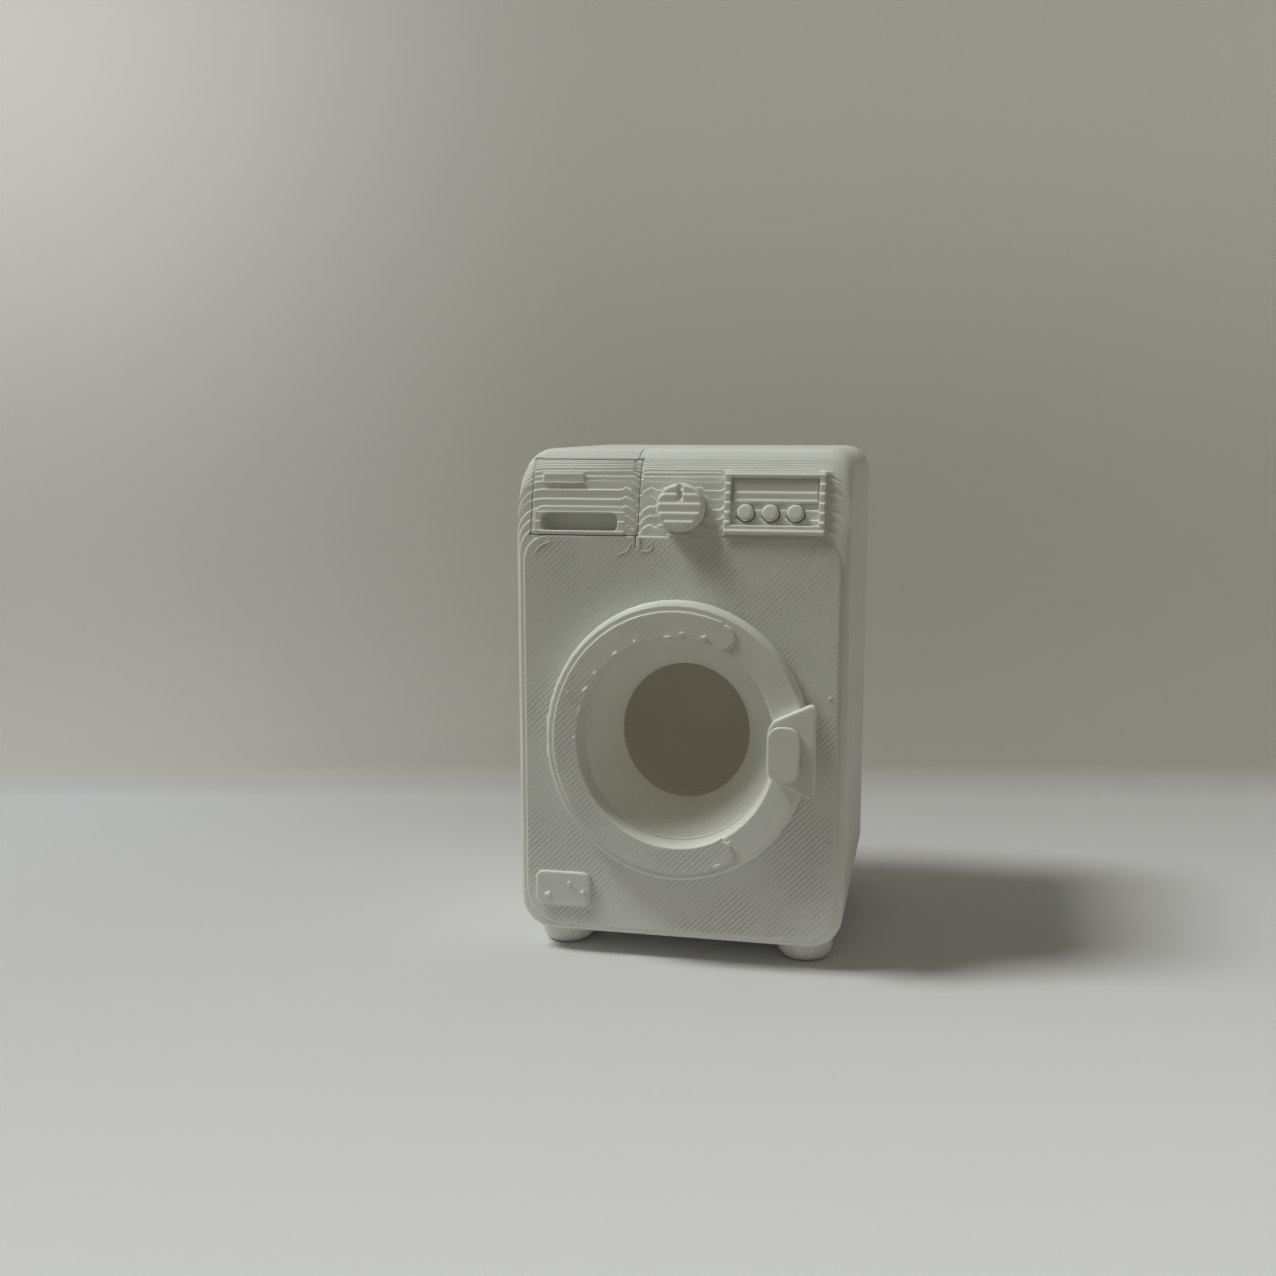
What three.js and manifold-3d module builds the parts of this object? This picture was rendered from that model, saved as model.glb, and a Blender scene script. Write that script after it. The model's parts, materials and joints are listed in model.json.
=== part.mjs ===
// Toy washing machine, a small printed front loader, as a kit of separate pieces.
// Millimetres. X runs to the right, Y to the back and Z up; the front faces -Y and the feet stand on Z = 0.
import * as THREE from 'three';
import { mergeVertices } from 'three/addons/utils/BufferGeometryUtils.js';
import Module from 'manifold-3d';

const wasm = await Module();
wasm.setup();

const degrees = Math.PI / 180;

// Driving dimensions

// Cabinet. Heights on it are counted from its underside.
const cabinetWidth = 32.8;
const cabinetDepth = 30;
const cabinetHeight = 48.8;
const sideWall = 1.2;
const frontWall = 1.5;
const lowCornerRadius = 3.4;
const highCornerRadius = 2.6;
const frontEdgeRound = 0.9;
const panelDrop = 8.35;
const panelLean = 12.8 * degrees;
const crownRadius = 4.2;

// Fits
const fitGap = 0.2;
const runningGap = 0.3;
const turnedGap = 0.3;
const overrun = 1;

// Feet
const footHeight = 2.2;
const footRadius = 2.85;
const footTipRadius = 1.7;
const footInset = 4;
const footPegRadius = 1;
const footPegLength = 0.9;
const footDomeShare = 0.65;

// Door. Its centre and its height follow the plain front below the panel; it is a little taller than wide.
const doorCentreShare = 0.5068;
const doorTallShare = 0.6905;
const doorWidth = 26.2;
const doorThickness = 1.8;
const doorSeat = 0.15;
const doorBand = 3.2;
const doorMouthInset = 0.5;
const doorEdgeRound = 0.6;
const doorEdgeDepth = 1.2;
const doorBackChamfer = 0.35;
const lastLayer = 0.2;
const bandMargin = 0.25;
const bandReach = 5.9;
const bandWidth = 2.5;

// Handle, with the catch behind it
const handleOverhang = 0.6;
const handleOverMouth = 0.75;
const handleHalfHeight = 4.5;
const handleInsideHalfHeight = 2.9;
const handleThickness = 1;
const handleCorner = 0.6;
const padWidth = 3.2;
const padHeight = 5.4;
const padThickness = 0.35;
const padRound = 1.3;
const padDrop = 0.25;
const catchInset = 1;
const catchWidth = 0.8;
const catchHeight = 2.4;
const catchLength = 1;

// Hinge behind the ring's left edge
const hingeInset = 0.65;
const hingeSetback = 0.75;
const hingePinRadius = 0.32;
const hingePinGap = 0.1;
const hingeEarRadius = 0.65;
const hingeEarHeight = 1;
const hingeKnuckleHeight = 1.8;
const hingeEarGap = 0.15;
const hingePlateWidth = 1.4;
const hingePlateHeight = 4.6;
const hingePlateThickness = 0.8;
const hingeNeckWidth = 0.9;

// Seal: a funnel between the ring and the drum
const sealFlangeReach = 1.65;
const sealFlangeThickness = 0.8;
const sealMouthInset = 0.05;
const sealThroatWidth = 13;
const sealWall = 0.8;
const sealLength = 4.8;
// The funnel inside: how far in from mouth to throat, and how far along its length, for each of its bends.
const sealBendShares = [[0, 0.08], [0.4, 0.36], [0.76, 0.66], [1, 0.94]];

// Drum and its axle
const drumRadius = 12;
const drumWall = 0.8;
const drumBack = 1.2;
const drumFrontSetback = 5.6;
const axleRadius = 1;
const axleGap = 0.1;
const hubRadius = 3.8;
const hubThickness = 0.8;
const capRadius = 2.8;
const capThickness = 1.2;

// Back cover
const coverThickness = 1.6;
const coverBossRadius = 4;
const coverBossLength = 4.1;

// Drawer
const bayMargin = 0.3;
const bayTopMargin = 1;
const seamShare = 0.253;
const seamGap = 0.2;
const grooveWidth = 0.7;
const grooveDepth = 0.12;
const drawerFrontDepth = 3.4;
const trayHeight = 6;
const trayLength = 13.4;
const trayWall = 0.8;
const guideFloor = 0.8;
const guideWall = 0.5;
const guideHeight = 5.4;
const slotWidthShare = 0.718;
const slotEndShare = 0.187;
const slotHeight = 1.75;
const slotDepth = 1.9;
const slotRise = 0.5;
const slotRimWidth = 0.7;
const slotRimProud = 0.12;
const plateWidthShare = 0.402;
const plateEndShare = 0.507;
const plateHeight = 1;
const plateRise = 5.1;
const plateProud = 0.14;

// Dial. Places on the panel are counted from the cabinet's middle and, up the slope, from the panel's foot.
const dialOffset = 0.2;
const dialRise = 2.75;
const dialRadius = 2.35;
const dialThickness = 1.2;
const dialEdgeRound = 0.35;
const dialStemRadius = 0.9;
const dialStemGap = 0.15;
const collarRadius = 1.8;
const collarThickness = 0.7;
const pointerWidth = 0.5;
const pointerDepth = 0.3;
const pointerStart = 0.6;

// Display frame and pane
const frameLeftShare = 0.2683;
const frameRightShare = 0.8476;
const frameLow = 0.35;
const frameTopMargin = 2;
const frameBar = 0.6;
const frameLowBar = 0.9;
const frameThickness = 0.4;
const framePegRadius = 0.4;
const framePegLength = 0.7;
const paneSill = 0.05;
const paneThickness = 0.35;
const paneGap = 0.1;

// Buttons
const buttonRadiusShare = 0.315;
const buttonProud = 0.55;
const buttonDome = 0.25;
const buttonLift = 2.05;
const buttonGap = 0.15;
const buttonFromFrameShare = 0.21;
const buttonPitchShare = 0.25;
const buttonCount = 3;
const buttonTravel = 0.4;
const buttonFlangeShare = 0.43;
const buttonFlangeThickness = 0.5;
const keeperThickness = 0.6;
const keeperHeight = 2.6;
const keeperPostWidth = 0.9;

// Filter cover
const filterWidth = 5.6;
const filterHeight = 3.5;
const filterThickness = 0.5;
const filterCorner = 0.8;
const filterInset = 4.7;
const filterRise = 4.6;
const filterPlugMargin = 0.8;
const filterPlugLength = 1.2;

// Facets on round shapes
const roundFacets = 48;
const smallFacets = 24;
const cornerFacets = 5;
const smallCornerFacets = 3;
const pegFacets = 10;

// Worked out from the driving dimensions

const halfWidth = cabinetWidth / 2;
const doorProud = doorSeat + doorThickness + handleThickness + padThickness;
const frontPlane = (doorProud - cabinetDepth) / 2;
const cabinetTop = footHeight + cabinetHeight;
const panelFoot = cabinetTop - panelDrop;
const frontHeight = cabinetHeight - panelDrop;
const doorHeight = footHeight + frontHeight * doorCentreShare;
const doorStretch = frontHeight * doorTallShare / doorWidth;
const leanSine = Math.sin(panelLean);
const leanCosine = Math.cos(panelLean);

// The crown is the arc that rolls the leaning panel over into the flat top.
const crownHeight = cabinetTop - crownRadius;
const panelEndHeight = crownHeight + crownRadius * leanSine;
const crownDepth = (panelEndHeight - panelFoot) * leanSine / leanCosine + crownRadius * leanCosine;

// Meshes and solids

function solidFrom(geometry) {
  const bare = geometry.clone();
  for (const name of Object.keys(bare.attributes)) {
    if (name !== 'position') bare.deleteAttribute(name);
  }
  const merged = mergeVertices(bare);
  const vertProperties = new Float32Array(merged.attributes.position.array);
  const triVerts = new Uint32Array(merged.index.array);
  const solid = new wasm.Manifold(new wasm.Mesh({ numProp: 3, vertProperties, triVerts }));
  if (solid.volume() > 0) return solid;
  // A profile drawn the other way round gives an inside-out skin, so its triangles are turned.
  for (let i = 0; i < triVerts.length; i += 3) {
    [triVerts[i], triVerts[i + 1]] = [triVerts[i + 1], triVerts[i]];
  }
  return new wasm.Manifold(new wasm.Mesh({ numProp: 3, vertProperties, triVerts }));
}

function geometryFrom(solid) {
  const mesh = solid.getMesh();
  const geometry = new THREE.BufferGeometry();
  geometry.setAttribute('position', new THREE.BufferAttribute(new Float32Array(mesh.vertProperties), 3));
  geometry.setIndex(new THREE.BufferAttribute(new Uint32Array(mesh.triVerts), 1));
  geometry.computeVertexNormals();
  return geometry;
}

function moved(solid, matrix) {
  return solidFrom(geometryFrom(solid).applyMatrix4(matrix));
}

function shifted(solid, x, y, z) {
  return moved(solid, new THREE.Matrix4().makeTranslation(x, y, z));
}

// Primitives

function block(x0, x1, y0, y1, z0, z1) {
  const geometry = new THREE.BoxGeometry(x1 - x0, y1 - y0, z1 - z0);
  return solidFrom(geometry.translate((x0 + x1) / 2, (y0 + y1) / 2, (z0 + z1) / 2));
}

// A round bar along Y, from the front face y0 to the back face y1.
function barAlongDepth(radius, y0, y1, facets = smallFacets) {
  const geometry = new THREE.CylinderGeometry(radius, radius, y1 - y0, facets);
  return solidFrom(geometry.translate(0, (y0 + y1) / 2, 0));
}

function barUpright(radius, z0, z1, facets = smallFacets) {
  const geometry = new THREE.CylinderGeometry(radius, radius, z1 - z0, facets);
  return solidFrom(geometry.rotateX(Math.PI / 2).translate(0, 0, (z0 + z1) / 2));
}

// Turns a profile of [radius, depth] points about the Y axis; stretch makes it taller than wide.
function turnedAlongDepth(profile, facets = roundFacets, stretch = 1) {
  const points = profile.map(([radius, depth]) => new THREE.Vector2(radius, depth));
  return solidFrom(new THREE.LatheGeometry(points, facets).scale(1, 1, stretch));
}

// A plate seen from the front: an outline in X and Z, from the front face y0 to the back face y1.
function plate(shape, y0, y1) {
  const geometry = new THREE.ExtrudeGeometry(shape, {
    depth: y1 - y0, bevelEnabled: false, curveSegments: cornerFacets,
  });
  return solidFrom(geometry.rotateX(Math.PI / 2).translate(0, y1, 0));
}

function roundedRectangle(width, height, radius) {
  const x = width / 2;
  const z = height / 2;
  const shape = new THREE.Shape();
  shape.moveTo(x - radius, -z);
  shape.absarc(x - radius, radius - z, radius, -Math.PI / 2, 0, false);
  shape.absarc(x - radius, z - radius, radius, 0, Math.PI / 2, false);
  shape.absarc(radius - x, z - radius, radius, Math.PI / 2, Math.PI, false);
  shape.absarc(radius - x, radius - z, radius, Math.PI, Math.PI * 1.5, false);
  shape.closePath();
  return shape;
}

// Cabinet form

// Height of the panel, crown and top at a depth behind the front plane, for a skin set inwards.
function topSkinHeight(depth, inset) {
  const radius = crownRadius - inset;
  if (depth >= crownDepth) return crownHeight + radius;
  if (depth >= crownDepth - radius * leanCosine) {
    return crownHeight + Math.sqrt(radius ** 2 - (crownDepth - depth) ** 2);
  }
  return panelFoot - inset * leanSine + (depth - inset * leanCosine) * leanCosine / leanSine;
}

// How far the front edge's round draws the outline in at a depth behind the front plane.
function edgeRoundInset(depth) {
  if (depth >= frontEdgeRound) return 0;
  return frontEdgeRound - Math.sqrt(frontEdgeRound ** 2 - (frontEdgeRound - depth) ** 2);
}

// The cabinet's outline at a depth, seen from the front: a rectangle with rounded corners.
function cabinetOutline(depth, side, top, drawnIn) {
  const half = halfWidth - side - drawnIn;
  const low = footHeight + side + drawnIn;
  const high = topSkinHeight(depth, top);
  const lowRadius = lowCornerRadius - side;
  const highRadius = highCornerRadius - side;
  const corners = [
    [half - lowRadius, low + lowRadius, lowRadius, -Math.PI / 2],
    [half - highRadius, high - highRadius, highRadius, 0],
    [highRadius - half, high - highRadius, highRadius, Math.PI / 2],
    [lowRadius - half, low + lowRadius, lowRadius, Math.PI],
  ];
  const points = [];
  for (const [x, z, radius, start] of corners) {
    for (let i = 0; i <= cornerFacets; i += 1) {
      const angle = start + (Math.PI / 2) * (i / cornerFacets);
      points.push(new THREE.Vector3(x + radius * Math.cos(angle), depth, z + radius * Math.sin(angle)));
    }
  }
  return points;
}

// Skins a row of outlines with the same number of points, and closes both ends.
function loft(outlines) {
  const count = outlines[0].length;
  const positions = [];
  const index = [];
  for (const outline of outlines) {
    for (const point of outline) positions.push(point.x, point.y, point.z);
  }
  for (let row = 0; row + 1 < outlines.length; row += 1) {
    for (let i = 0; i < count; i += 1) {
      const a = row * count + i;
      const b = row * count + (i + 1) % count;
      index.push(a, b, a + count, b, b + count, a + count);
    }
  }
  const last = (outlines.length - 1) * count;
  for (let i = 1; i + 1 < count; i += 1) {
    index.push(0, i + 1, i, last, last + i, last + i + 1);
  }
  const geometry = new THREE.BufferGeometry();
  geometry.setAttribute('position', new THREE.Float32BufferAttribute(positions, 3));
  geometry.setIndex(index);
  return solidFrom(geometry);
}

// Depths at which an outline is drawn: finer over the edge round and the crown.
function outlineDepths(front, back, inset) {
  const depths = [front, back];
  for (let i = 1; i <= cornerFacets; i += 1) {
    const turn = (Math.PI / 2) * (i / cornerFacets);
    depths.push(frontEdgeRound * (1 - Math.cos(turn)));
    const crownTurn = panelLean + (Math.PI / 2 - panelLean) * ((i - 1) / (cornerFacets - 1));
    depths.push(crownDepth - (crownRadius - inset) * Math.cos(crownTurn));
  }
  return depths.filter((depth) => depth >= front && depth <= back).sort((a, b) => a - b);
}

function cabinetForm(front, back, side, top, rounded) {
  const depths = outlineDepths(front, back, top).filter((depth, i, all) => i === 0 || depth > all[i - 1]);
  return loft(depths.map((depth) => cabinetOutline(depth, side, top, rounded ? edgeRoundInset(depth) : 0)));
}

const cabinetOutside = cabinetForm(0, cabinetDepth, 0, 0, true);
const cabinetInside = cabinetForm(frontWall, cabinetDepth + overrun, sideWall, frontWall, false);

// The panel's own frame: X across, Z up the slope, -Y out of it.
const panelMatrix = new THREE.Matrix4().makeRotationX(-panelLean).setPosition(0, 0, panelFoot);

function onPanel(solid, x, rise) {
  return moved(shifted(solid, x, 0, rise), panelMatrix);
}

// Drawer bay and its front

const seamOffset = halfWidth * seamShare;
const bayLeft = -(halfWidth - sideWall - bayMargin);
const bayRight = -(seamOffset - seamGap / 2);
const bayLow = panelFoot;
const bayHigh = cabinetTop - bayTopMargin;
const bay = block(bayLeft, bayRight, -overrun, drawerFrontDepth + seamGap, bayLow, bayHigh);

// The groove on the seam follows the panel at one depth, over the crown as well.
const grooveSlab = block(-seamOffset - grooveWidth / 2, -seamOffset + grooveWidth / 2,
  -overrun, crownDepth, panelFoot + seamGap, cabinetTop + overrun);
const groove = grooveSlab.subtract(cabinetForm(-overrun, cabinetDepth, 0, grooveDepth, false));

const drawerLeft = bayLeft + seamGap;
const drawerRight = bayRight - seamGap;
const drawerLow = bayLow + seamGap;
const drawerWidth = drawerRight - drawerLeft;
const slotWidth = drawerWidth * slotWidthShare;
const slotCentre = drawerRight - drawerWidth * slotEndShare - slotWidth / 2;
const slotHeightAtCentre = panelFoot + (slotRise + slotHeight / 2) * leanCosine;
const plateWidth = drawerWidth * plateWidthShare;
const plateCentre = drawerRight - drawerWidth * plateEndShare - plateWidth / 2;
const slotShape = roundedRectangle(slotWidth, slotHeight, slotHeight / 2 - lastLayer);
const slotRimShape = roundedRectangle(slotWidth + 2 * slotRimWidth, slotHeight + 2 * slotRimWidth,
  slotHeight / 2);

function makeDrawerFront() {
  const slab = block(drawerLeft, drawerRight, -overrun, drawerFrontDepth, drawerLow, bayHigh - seamGap);
  const slot = shifted(plate(slotShape, -overrun, slotDepth), slotCentre, 0, slotHeightAtCentre);
  const blankPlate = onPanel(plate(roundedRectangle(plateWidth, plateHeight, plateHeight / 2 - lastLayer),
    -plateProud, plateProud), plateCentre, plateRise + plateHeight / 2);
  const rim = onPanel(plate(slotRimShape, -slotRimProud, slotRimProud),
    slotCentre, slotRise + slotHeight / 2);
  const reach = block(drawerLeft, drawerRight, -overrun, drawerFrontDepth, drawerLow, bayHigh);
  const front = cabinetOutside.intersect(slab).subtract(groove);
  return front.add(rim.intersect(reach)).subtract(slot).add(blankPlate);
}

// Tray behind the drawer's front, and the channel that it slides in

const trayCentre = (drawerLeft + drawerRight) / 2;
const trayBack = drawerFrontDepth + trayLength;
const trayHalf = drawerWidth / 2 - guideWall - fitGap;
const guideInside = trayHalf + runningGap;

function makeDrawerTray() {
  const low = drawerLow;
  const half = trayHalf;
  const body = block(-half, half, drawerFrontDepth, trayBack, low, low + trayHeight);
  const hollow = block(trayWall - half, half - trayWall, drawerFrontDepth + trayWall, trayBack - trayWall,
    low + trayWall, low + trayHeight + overrun);
  return shifted(body.subtract(hollow), trayCentre, 0, 0);
}

function makeDrawerGuide() {
  const half = guideInside + guideWall;
  const left = -(halfWidth - sideWall) - trayCentre;
  const back = trayBack + fitGap + guideWall;
  const front = drawerFrontDepth + seamGap;
  const floor = block(left, half, frontWall + fitGap, back, panelFoot - guideFloor, panelFoot);
  const walls = block(-half, half, front, back, panelFoot - guideFloor, panelFoot + guideHeight)
    .subtract(block(-guideInside, guideInside, -overrun, trayBack + fitGap,
      panelFoot - guideFloor - overrun, panelFoot + guideHeight + overrun));
  return shifted(floor.add(walls), trayCentre, 0, 0);
}

// Door ring, its seal and the hinge behind its left edge. Depths are behind the front plane.

const ringHalf = doorWidth / 2;
const ringFront = -doorSeat - doorThickness;
const ringMouth = ringHalf - doorBand;

function roundOver(steps, draw) {
  return Array.from({ length: steps + 1 }, (unused, i) => draw((Math.PI / 2) * (i / steps)));
}

// The C-shaped last layer: a flat band on the ring's face that stops short of the right side.
function makeFaceBand() {
  const outer = ringHalf - doorEdgeRound - bandMargin;
  const inner = outer - bandWidth;
  const profile = [
    [inner, ringFront - lastLayer], [outer, ringFront - lastLayer],
    [outer, ringFront + lastLayer], [inner, ringFront + lastLayer], [inner, ringFront - lastLayer],
  ];
  const band = turnedAlongDepth(profile, roundFacets, doorStretch);
  const reach = bandReach - bandWidth / 2;
  const keep = block(-ringHalf, reach, ringFront - overrun, ringFront + overrun, -doorWidth, doorWidth);
  const middle = (inner + outer) / 2;
  const endHeight = Math.sqrt(middle ** 2 - reach ** 2) * doorStretch;
  const end = barAlongDepth(bandWidth / 2, ringFront - lastLayer, ringFront + lastLayer);
  return band.intersect(keep).add(shifted(end, reach, 0, endHeight)).add(shifted(end, reach, 0, -endHeight));
}

const handleReach = ringHalf + handleOverhang;
const handleInside = ringMouth - handleOverMouth;
const catchCentre = ringHalf - catchInset;
const sealMouth = ringMouth - doorMouthInset - sealMouthInset;
const sealFlange = sealMouth + sealFlangeReach;
const hingeX = hingeInset - ringHalf;
const hingeY = -hingeSetback;
const hingePlateLeft = hingeX - hingeNeckWidth / 2;
const earLow = hingeKnuckleHeight / 2 + hingeEarGap;
const earHigh = earLow + hingeEarHeight;

// Space in the ring's back for one ear; the ring's face stays whole in front of it.
function earPocket(side) {
  const low = earLow - hingeEarGap;
  const high = earHigh + hingeEarGap;
  const heights = side > 0 ? [low, high] : [-high, -low];
  return block(-ringHalf - overrun, hingeX + hingeEarRadius + hingeEarGap,
    hingeY - hingeEarRadius - hingePinGap, overrun, ...heights);
}

const pegLow = -catchHeight / 2;
const pegHigh = catchHeight / 2;
const catchLeft = catchCentre - catchWidth / 2;
const catchRight = catchCentre + catchWidth / 2;

function makeDoorRing() {
  const profile = [
    [ringMouth, ringFront],
    ...roundOver(cornerFacets, (turn) => [
      ringHalf - doorEdgeRound * (1 - Math.sin(turn)),
      ringFront + doorEdgeDepth * (1 - Math.cos(turn)),
    ]),
    [ringHalf, -doorSeat - doorBackChamfer],
    [ringHalf - doorBackChamfer, -doorSeat],
    [ringMouth - doorMouthInset, -doorSeat],
    [ringMouth, ringFront],
  ];
  const pinHole = barUpright(hingePinRadius + hingePinGap, -earHigh, earHigh);
  const pegHole = block(catchLeft - fitGap / 2, catchRight + fitGap / 2, ringFront - overrun, overrun,
    pegLow - fitGap / 2, pegHigh + fitGap / 2);
  return turnedAlongDepth(profile, roundFacets, doorStretch)
    .add(makeFaceBand())
    .subtract(earPocket(1))
    .subtract(earPocket(-1))
    .subtract(shifted(pinHole, hingeX, hingeY, 0))
    .subtract(pegHole);
}

// Two ears on a plate that is let into the cabinet's front.
function makeHingePlate() {
  const base = block(hingePlateLeft, hingePlateLeft + hingePlateWidth, 0, hingePlateThickness,
    -hingePlateHeight / 2, hingePlateHeight / 2);
  const ear = shifted(barUpright(hingeEarRadius, 0, hingeEarHeight), hingeX, hingeY, 0)
    .add(block(hingeX - hingeNeckWidth / 2, hingeX + hingeNeckWidth / 2, hingeY, hingePlateThickness / 2,
      0, hingeEarHeight));
  const hole = barUpright(hingePinRadius + hingePinGap / 2, -earHigh - overrun, earHigh + overrun);
  return base.add(shifted(ear, 0, 0, earLow)).add(shifted(ear, 0, 0, -earHigh))
    .subtract(shifted(hole, hingeX, hingeY, 0));
}

const hingePocketHalf = (hingePlateHeight + fitGap) / 2;
const hingePocket = block(hingePlateLeft - fitGap / 2, hingePlateLeft + hingePlateWidth + fitGap / 2,
  -overrun, hingePlateThickness, -hingePocketHalf, hingePocketHalf);

function makeDoorHandle() {
  const back = ringFront - lastLayer;
  const front = back - handleThickness + lastLayer;
  const right = handleReach;
  const left = handleInside;
  const tall = handleHalfHeight;
  const low = handleInsideHalfHeight;
  const corner = handleCorner;
  const shape = new THREE.Shape();
  shape.moveTo(right, corner - tall);
  shape.lineTo(right, tall - corner);
  shape.quadraticCurveTo(right, tall, right - corner, tall);
  shape.lineTo(left + corner, low);
  shape.quadraticCurveTo(left, low - corner, left, low - corner - corner);
  shape.lineTo(left, corner + corner - low);
  shape.quadraticCurveTo(left, corner - low, left + corner, -low);
  shape.lineTo(right - corner, -tall);
  shape.quadraticCurveTo(right, -tall, right, corner - tall);
  const peg = block(catchLeft, catchRight, back - handleThickness / 2, catchLength, pegLow, pegHigh);
  return plate(shape, front, ringFront).add(peg);
}

// The latch end of the handle's peg drops into this slot when the door is shut.
const catchSlot = block(catchLeft - runningGap, catchRight + runningGap, -overrun, frontWall + overrun,
  pegLow - runningGap, pegHigh + runningGap);

function makeHandlePad() {
  const back = ringFront - handleThickness;
  const shape = roundedRectangle(padWidth, padHeight, padRound);
  return plate(shape, back - padThickness, back);
}

function makeDoorSeal() {
  const mouth = sealMouth;
  const throat = sealThroatWidth / 2;
  const profile = [
    [sealFlange, 0], [mouth, 0],
    ...sealBendShares.map(([inwards, along]) => [mouth + (throat - mouth) * inwards, sealLength * along]),
    [throat, sealLength], [throat + sealWall, sealLength],
    [mouth + sealWall, frontWall], [mouth + sealWall, sealFlangeThickness],
    [sealFlange, sealFlangeThickness], [sealFlange, 0],
  ];
  return turnedAlongDepth(profile, roundFacets, doorStretch);
}

const sealRecess = turnedAlongDepth([
  [0, -overrun], [sealFlange + fitGap / 2, -overrun], [sealFlange + fitGap / 2, sealFlangeThickness],
  [0, sealFlangeThickness], [0, -overrun],
], roundFacets, doorStretch);
const sealHoleRadius = sealMouth + sealWall + fitGap;
const sealHole = turnedAlongDepth([
  [0, -overrun], [sealHoleRadius, -overrun], [sealHoleRadius, frontWall + overrun],
  [0, frontWall + overrun], [0, -overrun],
], roundFacets, doorStretch);

// Drum, axle and the cap behind the back cover

const coverFace = cabinetDepth - coverThickness;
const capSeat = coverFace + fitGap;
const coverBossFront = coverFace - coverBossLength;
const drumBackFace = coverBossFront - runningGap;

function makeDrum() {
  return turnedAlongDepth([
    [drumRadius - drumWall, drumFrontSetback], [drumRadius, drumFrontSetback], [drumRadius, drumBackFace],
    [axleRadius + axleGap, drumBackFace], [axleRadius + axleGap, drumBackFace - drumBack],
    [drumRadius - drumWall, drumBackFace - drumBack], [drumRadius - drumWall, drumFrontSetback],
  ]);
}

function makeDrumAxle() {
  const head = drumBackFace - drumBack - hubThickness;
  return turnedAlongDepth([
    [0, head], [hubRadius - lastLayer, head], [hubRadius, head + lastLayer], [hubRadius, head + hubThickness],
    [axleRadius, head + hubThickness], [axleRadius, capSeat + capThickness], [0, capSeat + capThickness],
    [0, head],
  ], smallFacets);
}

function makeAxleCap() {
  const bore = axleRadius + axleGap / 2;
  return turnedAlongDepth([
    [bore, capSeat], [capRadius, capSeat], [capRadius, capSeat + capThickness - lastLayer],
    [capRadius - lastLayer, capSeat + capThickness], [bore, capSeat + capThickness], [bore, capSeat],
  ], smallFacets);
}

function makeBackCover() {
  const outline = cabinetOutline(cabinetDepth, sideWall + fitGap / 2, frontWall + fitGap / 2, 0);
  const slab = loft([coverFace, cabinetDepth].map((depth) => outline.map((p) => p.clone().setY(depth))));
  const boss = shifted(barAlongDepth(coverBossRadius, coverBossFront, coverFace + coverThickness / 2),
    0, 0, doorHeight);
  const recess = shifted(barAlongDepth(capRadius + runningGap, coverFace, cabinetDepth + overrun),
    0, 0, doorHeight);
  const bore = shifted(barAlongDepth(axleRadius + axleGap, coverBossFront - overrun, cabinetDepth + overrun),
    0, 0, doorHeight);
  return slab.add(boss).subtract(recess).subtract(bore);
}

// Dial

function makeDialKnob() {
  const face = -turnedGap - dialThickness;
  const stemEnd = frontWall + turnedGap + collarThickness;
  const body = turnedAlongDepth([
    [0, face],
    ...roundOver(smallCornerFacets, (turn) => [
      dialRadius - dialEdgeRound * (1 - Math.sin(turn)),
      face + dialEdgeRound * (1 - Math.cos(turn)),
    ]),
    [dialRadius, -turnedGap], [dialStemRadius, -turnedGap], [dialStemRadius, stemEnd],
    [0, stemEnd], [0, face],
  ], smallFacets);
  const pointer = block(-pointerWidth / 2, pointerWidth / 2, face - overrun, face + pointerDepth,
    pointerStart, dialRadius + overrun);
  return body.subtract(pointer);
}

function makeDialCollar() {
  const front = frontWall + turnedGap;
  const bore = dialStemRadius + axleGap / 2;
  return turnedAlongDepth([
    [bore, front], [collarRadius, front], [collarRadius, front + collarThickness],
    [bore, front + collarThickness], [bore, front],
  ], smallFacets);
}

// Display frame and pane

const frameLeft = halfWidth * frameLeftShare;
const frameRight = halfWidth * frameRightShare;
const frameWidth = frameRight - frameLeft;
const frameHigh = panelDrop - frameTopMargin;
const frameCentre = (frameLeft + frameRight) / 2;
const pegPlaces = [frameLow + frameLowBar / 2, frameHigh - frameBar / 2]
  .flatMap((rise) => [[frameLeft + frameBar / 2, rise], [frameRight - frameBar / 2, rise]]);

function makeDisplayFrame() {
  const back = -turnedGap / 2;
  const outer = block(frameLeft, frameRight, back - frameThickness, back, frameLow, frameHigh);
  const inner = block(frameLeft + frameBar, frameRight - frameBar, -frameThickness - overrun, overrun,
    frameLow + frameLowBar, frameHigh - frameBar);
  let frame = outer.subtract(inner);
  for (const [x, rise] of pegPlaces) {
    const peg = barAlongDepth(framePegRadius, back - frameThickness / 2, framePegLength, pegFacets);
    frame = frame.add(shifted(peg, x, 0, rise));
  }
  return frame;
}

const paneHalf = frameWidth / 2 - frameBar - fitGap;
const paneHigh = frameHigh - frameBar - fitGap;
const buttonPitch = frameWidth * buttonPitchShare;
const buttonRadius = buttonPitch * buttonRadiusShare;
const buttonFlangeRadius = buttonPitch * buttonFlangeShare;
const buttonRise = frameLow + buttonLift;
const paneLow = buttonRise + buttonRadius + buttonGap + paneGap + paneSill;

function makeDisplayPane() {
  return block(-paneHalf, paneHalf, -paneThickness / 2, paneThickness, 0, paneHigh - paneLow);
}

const paneRecess = block(-paneHalf - paneGap, paneHalf + paneGap, -overrun, paneThickness + turnedGap,
  -paneGap, paneHigh - paneLow + paneGap);

// Buttons and the strip that keeps them in

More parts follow.
